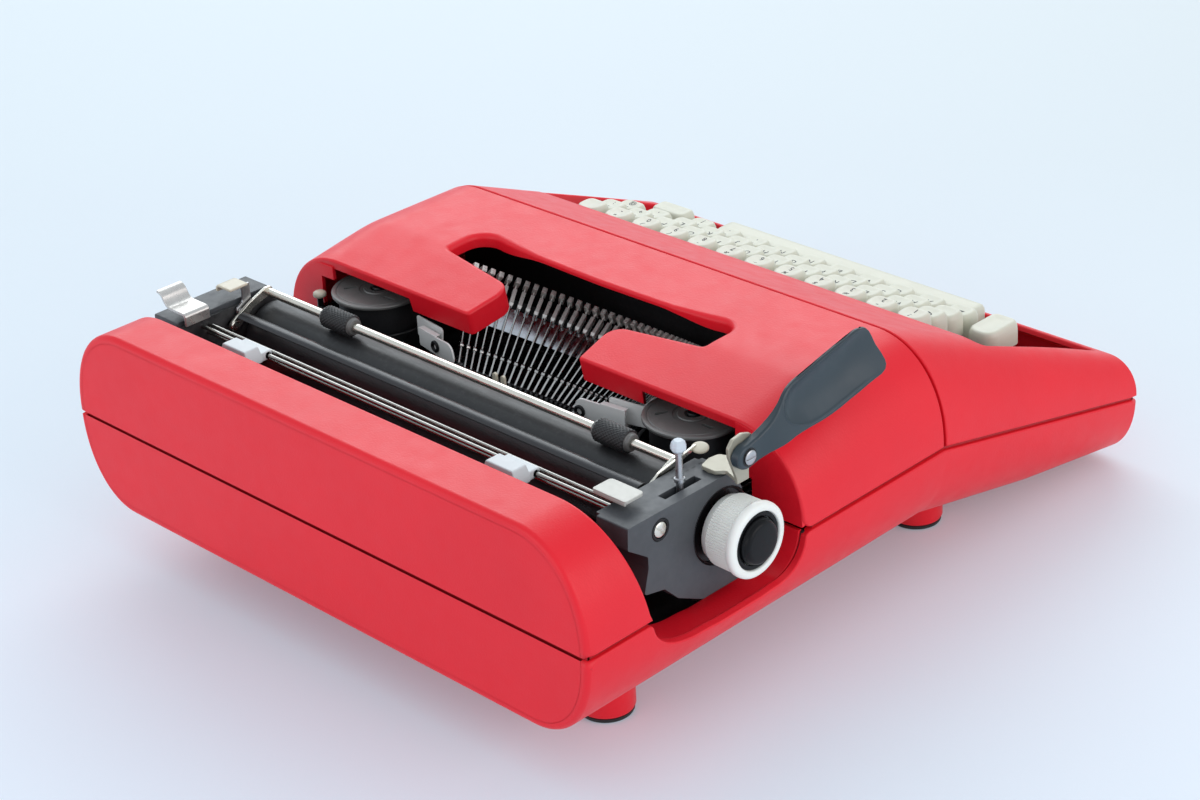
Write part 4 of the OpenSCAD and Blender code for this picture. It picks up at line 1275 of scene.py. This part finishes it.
# ribbon guides beside the type opening
bag, ring, post = Bag(), Bag(), Bag()
for s in (-1, 1):
    c, sn = math.cos(math.radians(-8.0 * s)), math.sin(math.radians(-8.0 * s))

    def gp(p):
        return (XC + s * 52 + (-3.6 if s < 0 else 0.0) + p[0] * c - p[1] * sn, -129.5 + p[0] * sn + p[1] * c, p[2])
    face = rpoly([(-s * 15, 14.0, 4.6), (s * 14.6, 15.6, 1.0), (s * 15, 24.4, 1.0), (-s * 12, 24.8, 4.6)], 7)
    v, f = extrude_y(face, 0.8, -0.2)
    bag.add([gp(p) for p in v], f)
    lip = rpoly([(s * 1.0, 24.2, 0.6), (s * 14.8, 24.2, 0.6), (s * 14.8, 25.0, 0.3), (s * 1.0, 25.0, 0.3)], 3)
    v, f = extrude_y(lip, 0.8, -2.4)
    bag.add([gp(p) for p in v], f)
    v, f = lathe([(0.7, 1.5), (1.5, 1.5), (1.9, 1.8), (1.9, 2.6), (1.5, 3.0), (0.7, 3.0), (0.7, 1.5)], 36, (10.4 if s < 0 else 0.8, 0, 18.2 if s < 0 else 19.8), "y")
    ring.add([gp(p) for p in v], f)
    back = rpoly([(s * 4, 15.0, 1.0), (s * 24, 16.0, 1.0), (s * 24, 26.6, 1.2), (s * 2, 26.6, 1.6)], 4)
    v, f = extrude_y(back, -4.4, -5.4)
    bag.add([gp(p) for p in v], f)
    v, f = rbox(-s * 15 - 1.5, -s * 15 + 1.5, -3.0, 0.8, -21.5, 15.5)
    post.add([gp(p) for p in v], f)
    v, f = rbox(s * 8 - 1.5, s * 8 + 1.5, -4.6, -0.1, 15.6, 17.4)
    post.add([gp(p) for p in v], f)
    gx = XC + s * 37.2 + (-3.6 if s < 0 else 0.0)
    post.add(*rbox(gx - 1.5, gx + 1.5, -143, -130.5, -21.5, -18.5))
bevel(bag.obj("ribbon_guide_plates", GUIDEM, "body", "nickel", swaps=("ribbon_guides",)), 0.25, 2)
sharp(ring.obj("ribbon_guide_eyes", BLACKPL, "body", "black_plastic"), 40)
bevel(post.obj("ribbon_guide_posts", BLACKP, "body", "black_paint"), 0.3, 2)

# vibrator fork
bag = Bag()
for s in (-1, 1):
    pr = rpoly([(-1.25, -7.2, 0.2), (1.25, -7.2, 0.2), (1.2, 25.0, 1.15), (-1.2, 25.0, 1.15)], 5)
    v, f = extrude_y([(XC + s * VX + a, b) for a, b in pr], -119.7, -121.3)
    bag.add(v, f)
bag.add(*extrude_y(rpoly([(XC - 9, -16, 1.5), (XC + 9, -16, 1.5), (XC + 9, -6.5, 1.5), (XC - 9, -6.5, 1.5)], 4), -119.7, -121.3))
bevel(bag.obj("vibrator_fork", CREAM, "vibrator", "cream", swaps=("ribbon_vibrator",)), 0.3, 2)

# ribbon reverse switch
sharp(obj("ribbon_switch_head", *lathe([(23.4, 0.0), (23.4, 2.6), (23.8, 3.2), (24.6, 3.4), (25.6, 3.2), (26.2, 2.5), (26.5, 1.2), (26.5, 0.0)], 36, (138, -125.7, 0), "z"), CREAM, "switch", "cream", swaps=("ribbon_switch",)), 50)
sharp(obj("ribbon_switch_stem", *lathe([(-20, 0.0), (-20, 1.5), (10, 1.5), (10.6, 2.2), (18, 2.2), (18.6, 1.6), (23.5, 1.5), (23.5, 0.0)], 28, (138, -125.7, 0), "z"), BLACKPL, "switch", "black_plastic"), 40)


# ------------------------------------------------------------------ carriage
def corners(pts, r):
    return [(a, b, r) for a, b in pts]


cap = extrude_x(rpoly([(-42, 36, 0.8), (-41.5, 26, 1.2), (-53, 18, 1.6), (-53, 12.5, 1.0), (-50, 1, 1.4), (-62, -1.5, 2.0), (-70, -9.5, 2.0), (-85, -17, 3.0), (-108, -17, 3.0),
                       (-113, -8, 3.0), (-111, 26, 2.0), (-106, 36, 1.0)], 4), -154.0, -133.9)
cap = carve(cap, [extrude_x(circle(PY, PZ, 17.7, 96), -158, -151), extrude_x(circle(PY, PZ, 4.6, 48), -158, -130), rbox(-148.6, -144.4, -92, -70, 30, 40),
                  extrude_x(circle(-60.9, 27.5, 5.2, 40), -158, -153.1), extrude_z(circle(-147, -101, 3.05, 32), 24, 40),
                  rbox(-136.2, -130, -120, -35, -30, 34.4), rbox(-136.2, -130, -120, -103.9, 30, 40), rbox(-136.2, -130, -44.2, -35, 30, 40)])
bevel(obj("end_cap_left_casting", *cap, SLATE, "carriage", "slate", swaps=("end_cap_left",)), 0.45, 2, 40)
cap = extrude_x(rpoly([(-45, 36, 0.8), (-45, 26, 1.2), (-54, 16, 2.0), (-54, 2, 2.0), (-70, -9, 3.0), (-85, -17, 3.0), (-104, -17, 3.0), (-108, -8, 2.0), (-107, 26, 2.0), (-101, 36, 1.0)], 4), 146.2, 164.0)
cap = carve(cap, [extrude_x(circle(PY, PZ, 4.6, 48), 140, 158)])
bevel(obj("end_cap_right_casting", *cap, SLATE, "carriage", "slate", swaps=("end_cap_right",)), 0.45, 2, 40)
# black ring in the knob recess paints in the shade behind the knob
sharp(obj("knob_recess_shade_liner", *lathe([(-151.0, 4.7), (-151.0, 17.5), (-153.6, 17.5), (-153.9, 17.2), (-153.6, 16.7), (-152.2, 16.4), (-152.0, 4.7), (-151.0, 4.7)], 96, (0, PY, PZ)), BLACKPL, "carriage", "black_plastic"), 40)
sharp(obj("cap_screw_ring", *lathe([(-153.0, 0.0), (-153.0, 5.1), (-153.7, 5.1), (-154.1, 4.7), (-154.1, 4.0), (-153.4, 3.8), (-153.4, 0.0)], 48, (0, -60.9, 27.5)), BLACKPL, "carriage", "black_plastic"), 40)
bevel(obj("cap_screw", *screw_head(-153.3, -60.9, 27.5, 3.5, 1.1), NICKEL, "carriage", "nickel"), 0.12, 2)
bag = Bag()
for (x, y, a, b) in ((-139.0, -93.6, 0.45, 1.1), (-139.2, -97.2, 0.45, 1.1), (-139.0, -101.8, 0.45, 1.1)):
    bag.add(*rbox(x - a, x + a, y - b, y + b, 35.8, 36.03))
bag.add(*lathe([(35.8, 0.0), (35.8, 0.9), (36.03, 0.9), (36.03, 0.0)], 20, (-138.9, -85.3, 0), "z"))
bag.obj("cap_marks", INK, "carriage", "black_plastic", smooth=False)

# platen, knob and button
prof = [(-128.0, 0.0), (-128.0, 12.0), (-127.6, 12.4), (-127.6, 15.2), (-128.0, 15.6), (-127.7, 16.6), (-127.0, 17.0)] + [(a, 17.0) for a in frange(-126, 140, 24)] + \
    [(141.0, 17.0), (141.7, 16.6), (142.0, 15.6), (141.6, 15.2), (141.6, 12.4), (142.0, 12.0), (142.0, 0.0)]
sharp(obj("platen_roller", *lathe(prof, 128, (0, PY, PZ)), RUBBER, "platen", "rubber_black", swaps=("platen",)), 40)
kp = [(-155.5, 4.1), (-155.5, 14.4), (-155.8, 14.9), (-158.0, 15.0), (-158.4, 15.1), (-158.6, 15.7), (-158.9, 16.0)]
k0 = len(kp)
kp += [(-159.2, 16.1), (-162, 16.15), (-166, 16.2), (-169.6, 16.2)]
k1 = len(kp)
kp += [(-170.0, 16.1), (-170.2, 15.9), (-170.6, 15.9), (-170.9, 16.9), (-171.3, 17.15), (-172.6, 17.15), (-173.5, 16.9), (-174.2, 16.2), (-174.5, 15.2), (-174.5, 13.9), (-174.35, 13.5), (-174.0, 13.25),
       (-173.5, 13.15), (-172.4, 13.15), (-172.4, 10.9), (-168.0, 10.9), (-168.0, 4.1), (-155.5, 4.1)]
NR = 84


def rib(k, i):
    if k0 <= k < k1:
        return -0.55 * abs(math.sin(pi * i * NR / 504.0)) ** 0.7 + 0.2
    return 0.0


sharp(obj("platen_knob_body", *lathe(kp, 504, (0, PY, PZ), "x", rib), WHITE, "platen", "white_knob", swaps=("platen_knob",)), 60)
sharp(obj("platen_knob_collar", *lathe([(-172.5, 10.95), (-172.5, 13.05), (-173.5, 13.05), (-173.75, 12.85), (-173.85, 12.5), (-173.85, 11.3), (-173.7, 11.05), (-173.4, 10.95), (-172.5, 10.95)], 96, (0, PY, PZ)),
          BUTTON, "platen", "black_plastic"), 40)
sharp(obj("platen_knob_button", *lathe([(-171.4, 0.0), (-171.4, 10.5), (-174.3, 10.5), (-174.7, 10.35), (-174.9, 10.0), (-175.3, 9.9), (-176.3, 9.6), (-176.75, 9.2), (-177.05, 8.5), (-177.18, 7.4),
                                       (-177.18, 0.0)], 96, (0, PY, PZ)), BUTTON, "button", "black_plastic", swaps=("knob_button",)), 50)

# paper table: sheet that cradles the platen and rises behind it
path = [(PY + 19.3 * math.cos(math.radians(a)), PZ + 19.3 * math.sin(math.radians(a))) for a in frange(285, 400, 40)] + [(-82.5, 28.3), (-81.0, 30.2), (-79.6, 31.0), (-78.0, 31.15), (-76.5, 30.8), (-75.5, 29.8)]
sharp(obj("paper_table_sheet", *strip(path, 1.2, -127, 139, "x"), TABLEM, "carriage", "black_paint", swaps=("paper_table",)), 50)

# margin stops
for s, x in (("left", -75.0), ("right", 104.0)):
    bag = Bag()
    v, f = loft([[(x - a, y, z) for a, y in ((10 - e, -45.0 - g), (10 - e, -54.5 + g), (-10 + e, -54.5 + g), (-10 + e, -45.0 - g))] for e, g, z in ((0.0, 0.0, 28.2), (0.0, 0.0, 31.6), (1.8, 0.5, 36.2))])
    bag.add(v, f)
    bag.add(*carve(rbox(x - 9.6, x + 9.6, -60.5, -54.0, 28.4, 32.8), [rodx(x - 20, x + 20, -58.2, 30.5, 1.08, 32)]))
    bevel(bag.obj("margin_stop_%s_block" % s, STOPW, "stop_" + s[0], "white_knob", swaps=("margin_stop_" + s,)), 0.7, 3, 25)

# paper bail
ARM = [(-99.4, 35), (-98.2, 38.8), (-94.4, 39), (-84, 34.8), (-72.6, 28.6), (-71.2, 26), (-73, 23.2), (-75.4, 23.4), (-85.6, 31.2), (-94, 33.8)]
bag = Bag()
bag.add(*tube([(-131.0, -96.6, 36), (-130.6, -96.6, 36), (-60, -96.6, 36), (4, -96.6, 36), (80, -96.6, 36), (140.6, -96.6, 36), (141.0, -96.6, 36)], 2.2, 28))
for a, b in ((-131.2, -129.6), (139.6, 141.2)):
    bag.add(*extrude_x(rpoly(corners(ARM, 1.6), 4), a, b))
    bag.add(*lathe([(a - 0.5, 0.0), (a - 0.5, 2.0), (a - 0.2, 2.6), (b + 0.2, 2.6), (b + 0.5, 2.0), (b + 0.5, 0.0)], 28, (0, -74.0, 26.0)))
bevel(bag.obj("paper_bail_frame", NICKEL, "bail", "nickel", swaps=("paper_bail",)), 0.3, 2, 50)
for s, x in (("left", -94.0), ("right", 87.0)):
    rows = frange(-8.6, 8.6, 48)
    prof = [(-9.0, 2.3), (-9.0, 4.9)] + [(a, 5.45) for a in rows] + [(9.0, 4.9), (9.0, 2.3), (-9.0, 2.3)]

    def knurl(k, i):
        if 2 <= k < 2 + len(rows):
            t, a = 2 * pi * i / 160, rows[k - 2]
            h = min(abs(math.sin(10 * t + a * 1.5)), abs(math.sin(10 * t - a * 1.5)))
            return -0.42 * (1 - min(1.0, h * 1.25)) + 0.05
        return 0.0
    sharp(obj("bail_roller_%s_tyre" % s, *lathe(prof, 160, (x, -96.6, 36), "x", knurl), RUBBER, "bail_" + s[0], "rubber_black", swaps=("bail_roller_" + s,)), 60)
    bag = Bag()
    for q in (-1, 1):
        bag.add(*lathe([(q * 8.8, 2.3), (q * 8.8, 4.4), (q * 9.4, 4.4), (q * 9.7, 4.0), (q * 10.6, 4.0), (q * 11.0, 3.6), (q * 11.0, 2.3), (q * 8.8, 2.3)], 40, (x, -96.6, 36)))
    sharp(bag.obj("bail_roller_%s_hubs" % s, SPOOL, "bail_" + s[0], "black_plastic"), 40)

# return lever: arm with a turned-up flange, moulded handle and its screw
bag = Bag()
bag.add(*extrude_z(rpoly([(-163.9, -104.4, 0.3), (-157.3, -107.6, 3.0), (-146, -111.5, 3.0), (-142, -110, 2.5), (-141.1, -104.5, 3.0), (-143, -97.6, 2.0), (-151, -97.6, 1.5), (-154.5, -101, 1.5), (-163.9, -97.6, 0.3)], 5), 36.4, 38.2))
bag.add(*extrude_x(rpoly([(-97.4, 36.5, 0.3), (-97, 39.4, 3.0), (-92.5, 51, 4.0), (-92.3, 55, 2.0), (-95, 58.1, 2.0), (-101, 58.9, 3.0), (-106, 57.2, 3.0), (-109.0, 53.5, 3.0), (-108.0, 46, 4.0), (-104.5, 41, 3.0), (-104.5, 36.5, 0.3)], 5), -164.0, -162.3))
bag.add(*lathe([(26, 0.0), (26, 2.6), (26.5, 3.0), (37.6, 3.0), (37.6, 0.0)], 40, (-147, -101, 0), "z"))
bevel(bag.obj("return_arm_plate", ARMC, "lever", "cream", swaps=("return_arm",)), 0.5, 3, 40)


def ell(cx, cy, a, b, t0, t1, n):
    return [(cx + a * math.cos(math.radians(t)), cy + b * math.sin(math.radians(t))) for t in frange(t0, t1, n)]


hout = ell(-99.4, 50.0, 6.4, 5.5, 10, 95, 8) + [(-105.9, 56.8), (-111.3, 59.4), (-114.6, 61.4), (-117.4, 63.6), (-120.5, 66.5), (-123.0, 69.3), (-125.2, 70.9), (-128.2, 72.2),
        (-131.5, 73.0), (-136.1, 73.8), (-141.8, 74.8), (-147.4, 75.9), (-153.2, 76.9), (-158.2, 77.8), (-164.5, 78.8), (-168.8, 79.5), (-171.7, 79.9), (-174.0, 79.9), (-176.7, 79.2),
        (-179.2, 77.9), (-181.1, 76.0), (-182.4, 73.6), (-184.2, 69.0), (-186.5, 64.7), (-187.9, 61.3), (-188.0, 59.1), (-186.8, 57.0), (-184.0, 55.8), (-179.2, 55.2), (-174.4, 54.5),
        (-168.4, 53.4), (-162.2, 52.5), (-155.9, 51.4), (-150.0, 50.7), (-145.2, 50.3), (-140.6, 50.2), (-136.9, 50.2), (-131.6, 50.1), (-126.5, 49.8), (-120.4, 48.8), (-111.8, 47.2),
        (-105.0, 45.5)] + ell(-99.4, 50.0, 6.4, 5.5, 255, 350, 8)
hout = dense(hout, 2.0)


def along(x, table):
    for (a, p), (b, q) in zip(table, table[1:]):
        if x >= b:
            return p + (q - p) * max(0.0, (x - a) / (b - a))
    return table[-1][1]


MID = [(-116.0, 62.4), (-131.0, 62.5), (-136.0, 62.35), (-142.5, 62.95), (-150.0, 64.0), (-158.0, 65.3), (-166.0, 66.7), (-172.0, 67.55), (-180.0, 68.2), (-190.0, 69.0)]
HALF = [(-116.0, 9.3), (-131.0, 9.4), (-136.0, 10.45), (-142.5, 11.05), (-150.0, 11.3), (-158.0, 11.4), (-166.0, 11.5), (-172.0, 11.4), (-180.0, 10.9), (-190.0, 10.2)]


def scoop_depth(u, v):
    """Hollow of the blade, open at the tip, with a fine bead along its rim; the blade leans inwards."""
    w = (v - along(u, MID)) / along(u, HALF)
    q = math.hypot(max(0.0, (u + 134.0) / 12.6), w)
    deep = 3.1 - 2.3 * ease((-162.0 - u) / 27.0)
    d = deep * (1 - q * q) if q < 1 else 0.0
    d -= 0.32 * math.exp(-((q - 1.0) / 0.04) ** 2) * (1.0 - ease((-166.0 - u) / 16.0))
    return d + 0.2 * (v - 65.0) * ease((-104.0 - u) / 18.0)


rim_w = (0.0, 0.25, 0.5, 0.7, 0.84, 0.92, 0.96, 1.0, 1.04, 1.09)
hs = [(u, along(u, MID) + k * w * along(u, HALF)) for u in frange(-134, -187, 46) for w in rim_w for k in ((1, -1) if w else (1,))]
for w in rim_w[1:]:
    for t in frange(-84, 84, 28):
        u = -134 + 12.6 * w * math.cos(math.radians(t))
        hs.append((u, along(u, MID) + w * along(u, HALF) * math.sin(math.radians(t))))
hs += [(u, along(u, [(-94.0, 50.0), (-112.0, 52.6), (-121.0, 57.0)]) + dv) for u in frange(-96, -119, 11) for dv in (-4.0, -2.0, 0.0, 2.0, 4.0)]
hp = panel(hout, [], lambda u, v: (-168.6 + scoop_depth(u, v), u, v), lambda u: (-60, u, 60), lambda u, v: 1.3 - 0.55 * ease((-112.0 - u) / 12.0),
           lambda u, v: 4.4 - 2.5 * ease((-112.0 - u) / 12.0), 1.5, 1.7, 6, steiner=hs, gap=0.35)
shell_obj("return_handle_blade", hp, HANDLE, "slate", "lever", ("return_handle",))
bag = Bag()
bag.add(*lathe([(-168.0, 0.0), (-168.0, 4.1), (-168.75, 4.1), (-168.9, 3.8), (-168.7, 3.4), (-168.7, 0.0)], 48, (0, -99.9, 50.0)))
bag.obj("lever_screw_washer", BLACKPL, "lever", "black_plastic")
bevel(obj("lever_screw_head", *screw_head(-168.8, -99.9, 50.0, 3.3, 1.0, -1, 0.0), STEEL, "lever", "steel", swaps=("lever_screw",)), 0.12, 2)

# line space selector
obj("line_space_knob", *lathe([(52.7, 0.0), (52.7, 1.8), (53.3, 2.7), (54.3, 3.4), (55.7, 3.4), (57.5, 2.9), (58.3, 2.0), (58.3, 0.0)], 9, (-146.5, -81, 0), "z"), KNOBP, "selector", "white_knob", smooth=False, swaps=("line_space_selector",))
sharp(obj("line_space_stalk", *lathe([(31, 0.0), (31, 1.6), (38.6, 1.6), (39.0, 2.4), (40.6, 2.4), (41.0, 1.7), (51.6, 1.5), (52.0, 2.1), (52.8, 2.1), (52.8, 0.0)], 28, (-146.5, -81, 0), "z"), STEEL, "selector", "steel"), 40)

# ratchet release
bag = Bag()
bag.add(*extrude_x(rpoly([(-78, 29.5, 1.2), (-78, 34, 2), (-82, 37.0, 2), (-106, 41.2, 0.6), (-106.6, 39.6, 0.6), (-83, 34, 2), (-81.5, 29, 1.2)], 4), -133.2, -132.0))
bag.add(*rodx(-135.6, -131.8, -80, 31, 1.5, 28))
bevel(bag.obj("ratchet_release_strip", NICKEL, "ratchet", "nickel", swaps=("ratchet_release",)), 0.25, 2, 50)
c, s = math.cos(math.radians(-14)), math.sin(math.radians(-14))
v, f = lathe([(-0.1, 0.0), (-0.1, 3.5), (0.4, 4.1), (1.2, 4.2), (1.7, 3.7), (1.85, 2.4), (1.85, 0.0)], 40, (0, 0, 0), "z")
v = [(-134.5 + x, -107 + y * 0.82 * c - z * s, 39.0 + y * 0.82 * s + z * c) for x, y, z in v]
sharp(obj("ratchet_release_tab", v, f, CREAM, "ratchet", "cream"), 50)

# paper release
bag = Bag()
bag.add(*extrude_x(rpoly([(-77.6, 29.1, 1), (-77.6, 33, 2), (-82, 35.5, 2), (-82, 44.0, 0.4), (-86.9, 44.0, 0.4), (-86.9, 30.6, 1), (-85.5, 29.1, 1)], 4), 142.0, 143.3))
bag.add(*rodx(141.8, 145.8, -80, 31, 1.5, 28))
bevel(bag.obj("paper_release_arm", STEEL, "paper_rel", "steel", swaps=("paper_release",)), 0.25, 2, 50)
v, f = strip([(141.9, 43.4), (150.4, 43.4), (152.0, 43.2), (152.9, 42.4), (153.1, 40.2)], 1.4, -86.0, -75.0, "y")
bevel(obj("paper_release_plate", v, f, CREAM, "paper_rel", "cream"), 0.5, 3, 50)

# carriage releases
bag = Bag()
bag.add(*extrude_z(rpoly([(-144.4, -62.4, 2), (-125.2, -62.4, 2), (-125.2, -50.9, 1.2), (-144.4, -50.9, 1.2)], 5), 39.6, 41.2))
bag.add(*rbox(-144.0, -126.0, -51.9, -50.8, 38.9, 40.4))
bag.add(*rbox(-132.2, -130.6, -62.0, -53.6, 37.0, 40.0))
bevel(bag.obj("carriage_release_left_plate", PALE, "release_l", "nickel", swaps=("carriage_release_left",)), 0.3, 2, 50)
path = [(142.9, 34.4), (142.9, 39.2), (143.6, 40.1), (144.6, 40.3), (154.5, 40.3), (156.9, 41.1), (158.7, 43.3), (160.0, 45.7), (161.8, 46.8), (163.6, 46.95)]
path = [tuple(q)[:2] for q in bend([(a, b, 0) for a, b in path], 1.2, 4)]
v, f = strip(path, 1.4, -47.6, -62.0, "y")
bevel(obj("carriage_release_right_plate", v, f, CHROME, "release_r", "nickel", swaps=("carriage_release_right",)), 0.3, 2, 50)

# ------------------------------------------------------------------ chassis
bag = Bag()
for s in (-1, 1):
    bag.add(*extrude_x(rpoly(corners([(-45, -33), (-45, -24.6), (-126, -24.6), (-131, -7.0), (-136.2, -5.0), (-136.2, 12.4), (-150, 14), (-218, 2), (-224, -33)], 2.5), 4), s * 146 - 1, s * 146 + 1))
for (a, b, c, d) in ((-53, -47, -33, -24), (-152, -141, -24.5, -21.5), (-170, -159, -25, -22), (-224, -219, -24, -12)):
    bag.add(*rbox(-145.5, 145.5, a, b, c, d))
bag.add(*rbox(-138.0, 138.0, -225.0, -42.0, -41.6, -40.6))
bag.add(*extrude_y(rpoly([(-141, -24, 1), (141, -24, 1), (141, 22, 8), (128, 38, 8), (-128, 38, 8), (-141, 22, 8)], 4), -225.6, -226.6))
bevel(bag.obj("chassis_frame", CHASSIS_AND_SHADE_BLACK, "body", "black_paint", swaps=("base_frame",)), 0.4, 2)

# feet
bag, pads = Bag(), Bag()
for x in (-120.0, 120.0):
    for y in (-58.0, -273.0):
        zt = zunder(y) + 1.2
        fv, ff = lathe([(-71.0, 0.0), (-71.0, 11.6), (-70.4, 12.5), (-69.4, 13.0), (zt - 3.0, 13.0), (zt - 1.6, 13.0), (zt, 13.0), (zt, 0.0)], 64, (x, y, 0), "z")
        # the top follows the slope of the underside
        bag.add([(px, py, pz + (zunder(py) - zunder(y) if pz > zt - 3.5 else 0.0)) for px, py, pz in fv], ff)
        pads.add(*lathe([(-73.0, 0.0), (-73.0, 11.4), (-72.7, 12.0), (-72.0, 12.4), (-71.0, 12.4), (-70.6, 11.4), (-70.6, 0.0)], 64, (x, y, 0), "z"))
sharp(bag.obj("foot_posts", RED, "body", "casing_red", swaps=("feet",)), 40)
sharp(pads.obj("foot_soles", FOOTR, "body", "foot_rubber", swaps=("foot_pads",)), 40)


# ------------------------------------------------------------------ carried-over parts
LOOK = {"casing_red": RED, "ivory_key": IVORY, "white_knob": WHITE, "slate": SLATE, "black_paint": BLACKP, "black_plastic": BLACKPL,
        "rubber_black": RUBBER, "foot_rubber": FOOTR, "nickel": NICKEL, "steel": STEEL, "spool_grey": SPOOL, "cream": CREAM}
slots = {s["node"]: s["material_slot"] for s in frame["record"]["subparts"]}
for name, ob in frame["nodes"].items():
    if ob.data is None:
        continue
    mt = RODM if name == "margin_rail" else LOOK[slots.get(name, "steel")]
    if len(ob.material_slots) == 0:
        ob.data.materials.append(mt)
    for sl in ob.material_slots:
        sl.material = mt

# ------------------------------------------------------------------ stage
fl, nt, b, vec = _mat("floor_painted_shade_and_glow")
sep = nt.nodes.new("ShaderNodeSeparateXYZ")
rot = nt.nodes.new("ShaderNodeMapping")
rot.inputs["Rotation"].default_value = (0.0, 0.0, math.radians(44.4))
nt.links.new(vec, rot.inputs["Vector"])
nt.links.new(rot.outputs["Vector"], sep.inputs["Vector"])
# floor colour graded as painted shading: paler and bluer near the machine, darker towards the far side
c = _ramp(nt, _range(nt, sep.outputs["X"], 0.0, 1.0, -0.7, 0.9), [(0.0, (0.73, 0.76, 0.84)), (0.35, (0.725, 0.755, 0.82)), (0.7, (0.63, 0.645, 0.675)), (1.0, (0.58, 0.595, 0.61))])
c = _mix(nt, _range(nt, _noise(nt, vec, 3.0, 2.0), 0.0, 0.12), c, (0.60, 0.60, 0.66))
# the floor glows with a bluish emission that paints fill light into the shadows
nt.links.new(_ramp(nt, _range(nt, sep.outputs["Y"], 0.0, 1.0, -0.55, 0.45), [(0.0, (0.42, 0.66, 0.63)), (0.6, (0.50, 0.82, 0.95)), (1.0, (0.50, 0.84, 0.97))]), b.inputs["Emission Color"])
b.inputs["Emission Strength"].default_value = 0.17
nt.links.new(c, b.inputs["Base Color"])
nt.links.new(_bump(nt, _noise(nt, vec, 900.0, 3.0), 0.12, 0.0004), b.inputs["Normal"])
b.inputs["Roughness"].default_value = 0.85
b.inputs["Specular IOR Level"].default_value = 0.2
me = bpy.data.meshes.new("floor")
bm = bmesh.new()
R0 = 4.0
prof = [(-2.5, 0.0), (1.6, 0.0)] + [(1.6 + 1.2 * math.sin(t), 1.2 - 1.2 * math.cos(t)) for t in frange(0.08, pi / 2, 14)] + [(2.8, 4.0)]
d = Vector((0.7145, -0.6996, 0.0))
e = Vector((0.6996, 0.7145, 0.0))
rows = [[bm.verts.new(d * a + e * q + Vector((0, 0, z))) for q in (-R0, R0)] for a, z in prof]
for i in range(len(rows) - 1):
    bm.faces.new((rows[i][0], rows[i][1], rows[i + 1][1], rows[i + 1][0]))
bmesh.ops.recalc_face_normals(bm, faces=bm.faces)
for fc in bm.faces:
    fc.smooth = True
bm.to_mesh(me)
bm.free()
floor = bpy.data.objects.new("floor", me)
bpy.context.collection.objects.link(floor)
me.materials.append(fl)

w = bpy.data.worlds.new("soft_daylight")
bpy.context.scene.world = w
w.use_nodes = True
w.node_tree.nodes["Background"].inputs["Color"].default_value = (0.86, 0.93, 1.0, 1)
w.node_tree.nodes["Background"].inputs["Strength"].default_value = 0.80


def light(name, loc, aim, size, power, col):
    la = bpy.data.lights.new(name, "AREA")
    la.shape = "RECTANGLE"
    la.size, la.size_y = size
    la.energy = power
    la.color = col
    o = bpy.data.objects.new(name, la)
    bpy.context.collection.objects.link(o)
    o.location = loc
    o.rotation_euler = (Vector(aim) - Vector(loc)).to_track_quat("-Z", "Y").to_euler()
    return o


light("far_window", (1.30, -1.27, 1.20), (0, 0, 0.05), (2.4, 1.3), 25.5, (0.96, 0.985, 1.0))
light("side_window", (-1.9, -0.35, 0.75), (0, 0, 0.04), (1.8, 1.1), 12.5, (1.0, 0.95, 0.94))
light("rear_fill", (0.25, 1.9, 0.60), (0, 0, 0.04), (1.8, 0.9), 7.0, (0.98, 0.97, 1.0))

# ------------------------------------------------------------------ camera
cam = bpy.data.cameras.new("photo_view")
cam.sensor_width = 36.0
cam.lens = 78.304
cam.clip_start = 0.05
cam.clip_end = 30.0
co = bpy.data.objects.new("photo_view", cam)
bpy.context.collection.objects.link(co)
right = Vector((-0.7152131, -0.6974569, -0.0449899))
downv = Vector((-0.2908650, 0.3555664, -0.8882399))
fwd = Vector((0.6355059, -0.6221948, -0.4571716))
m = Matrix((right, -downv, -fwd)).transposed().to_4x4()
m.translation = P(-798.0035, 600.4215, 562.8072)
co.matrix_world = m
bpy.context.scene.camera = co
bpy.context.scene.view_settings.view_transform = "Standard"
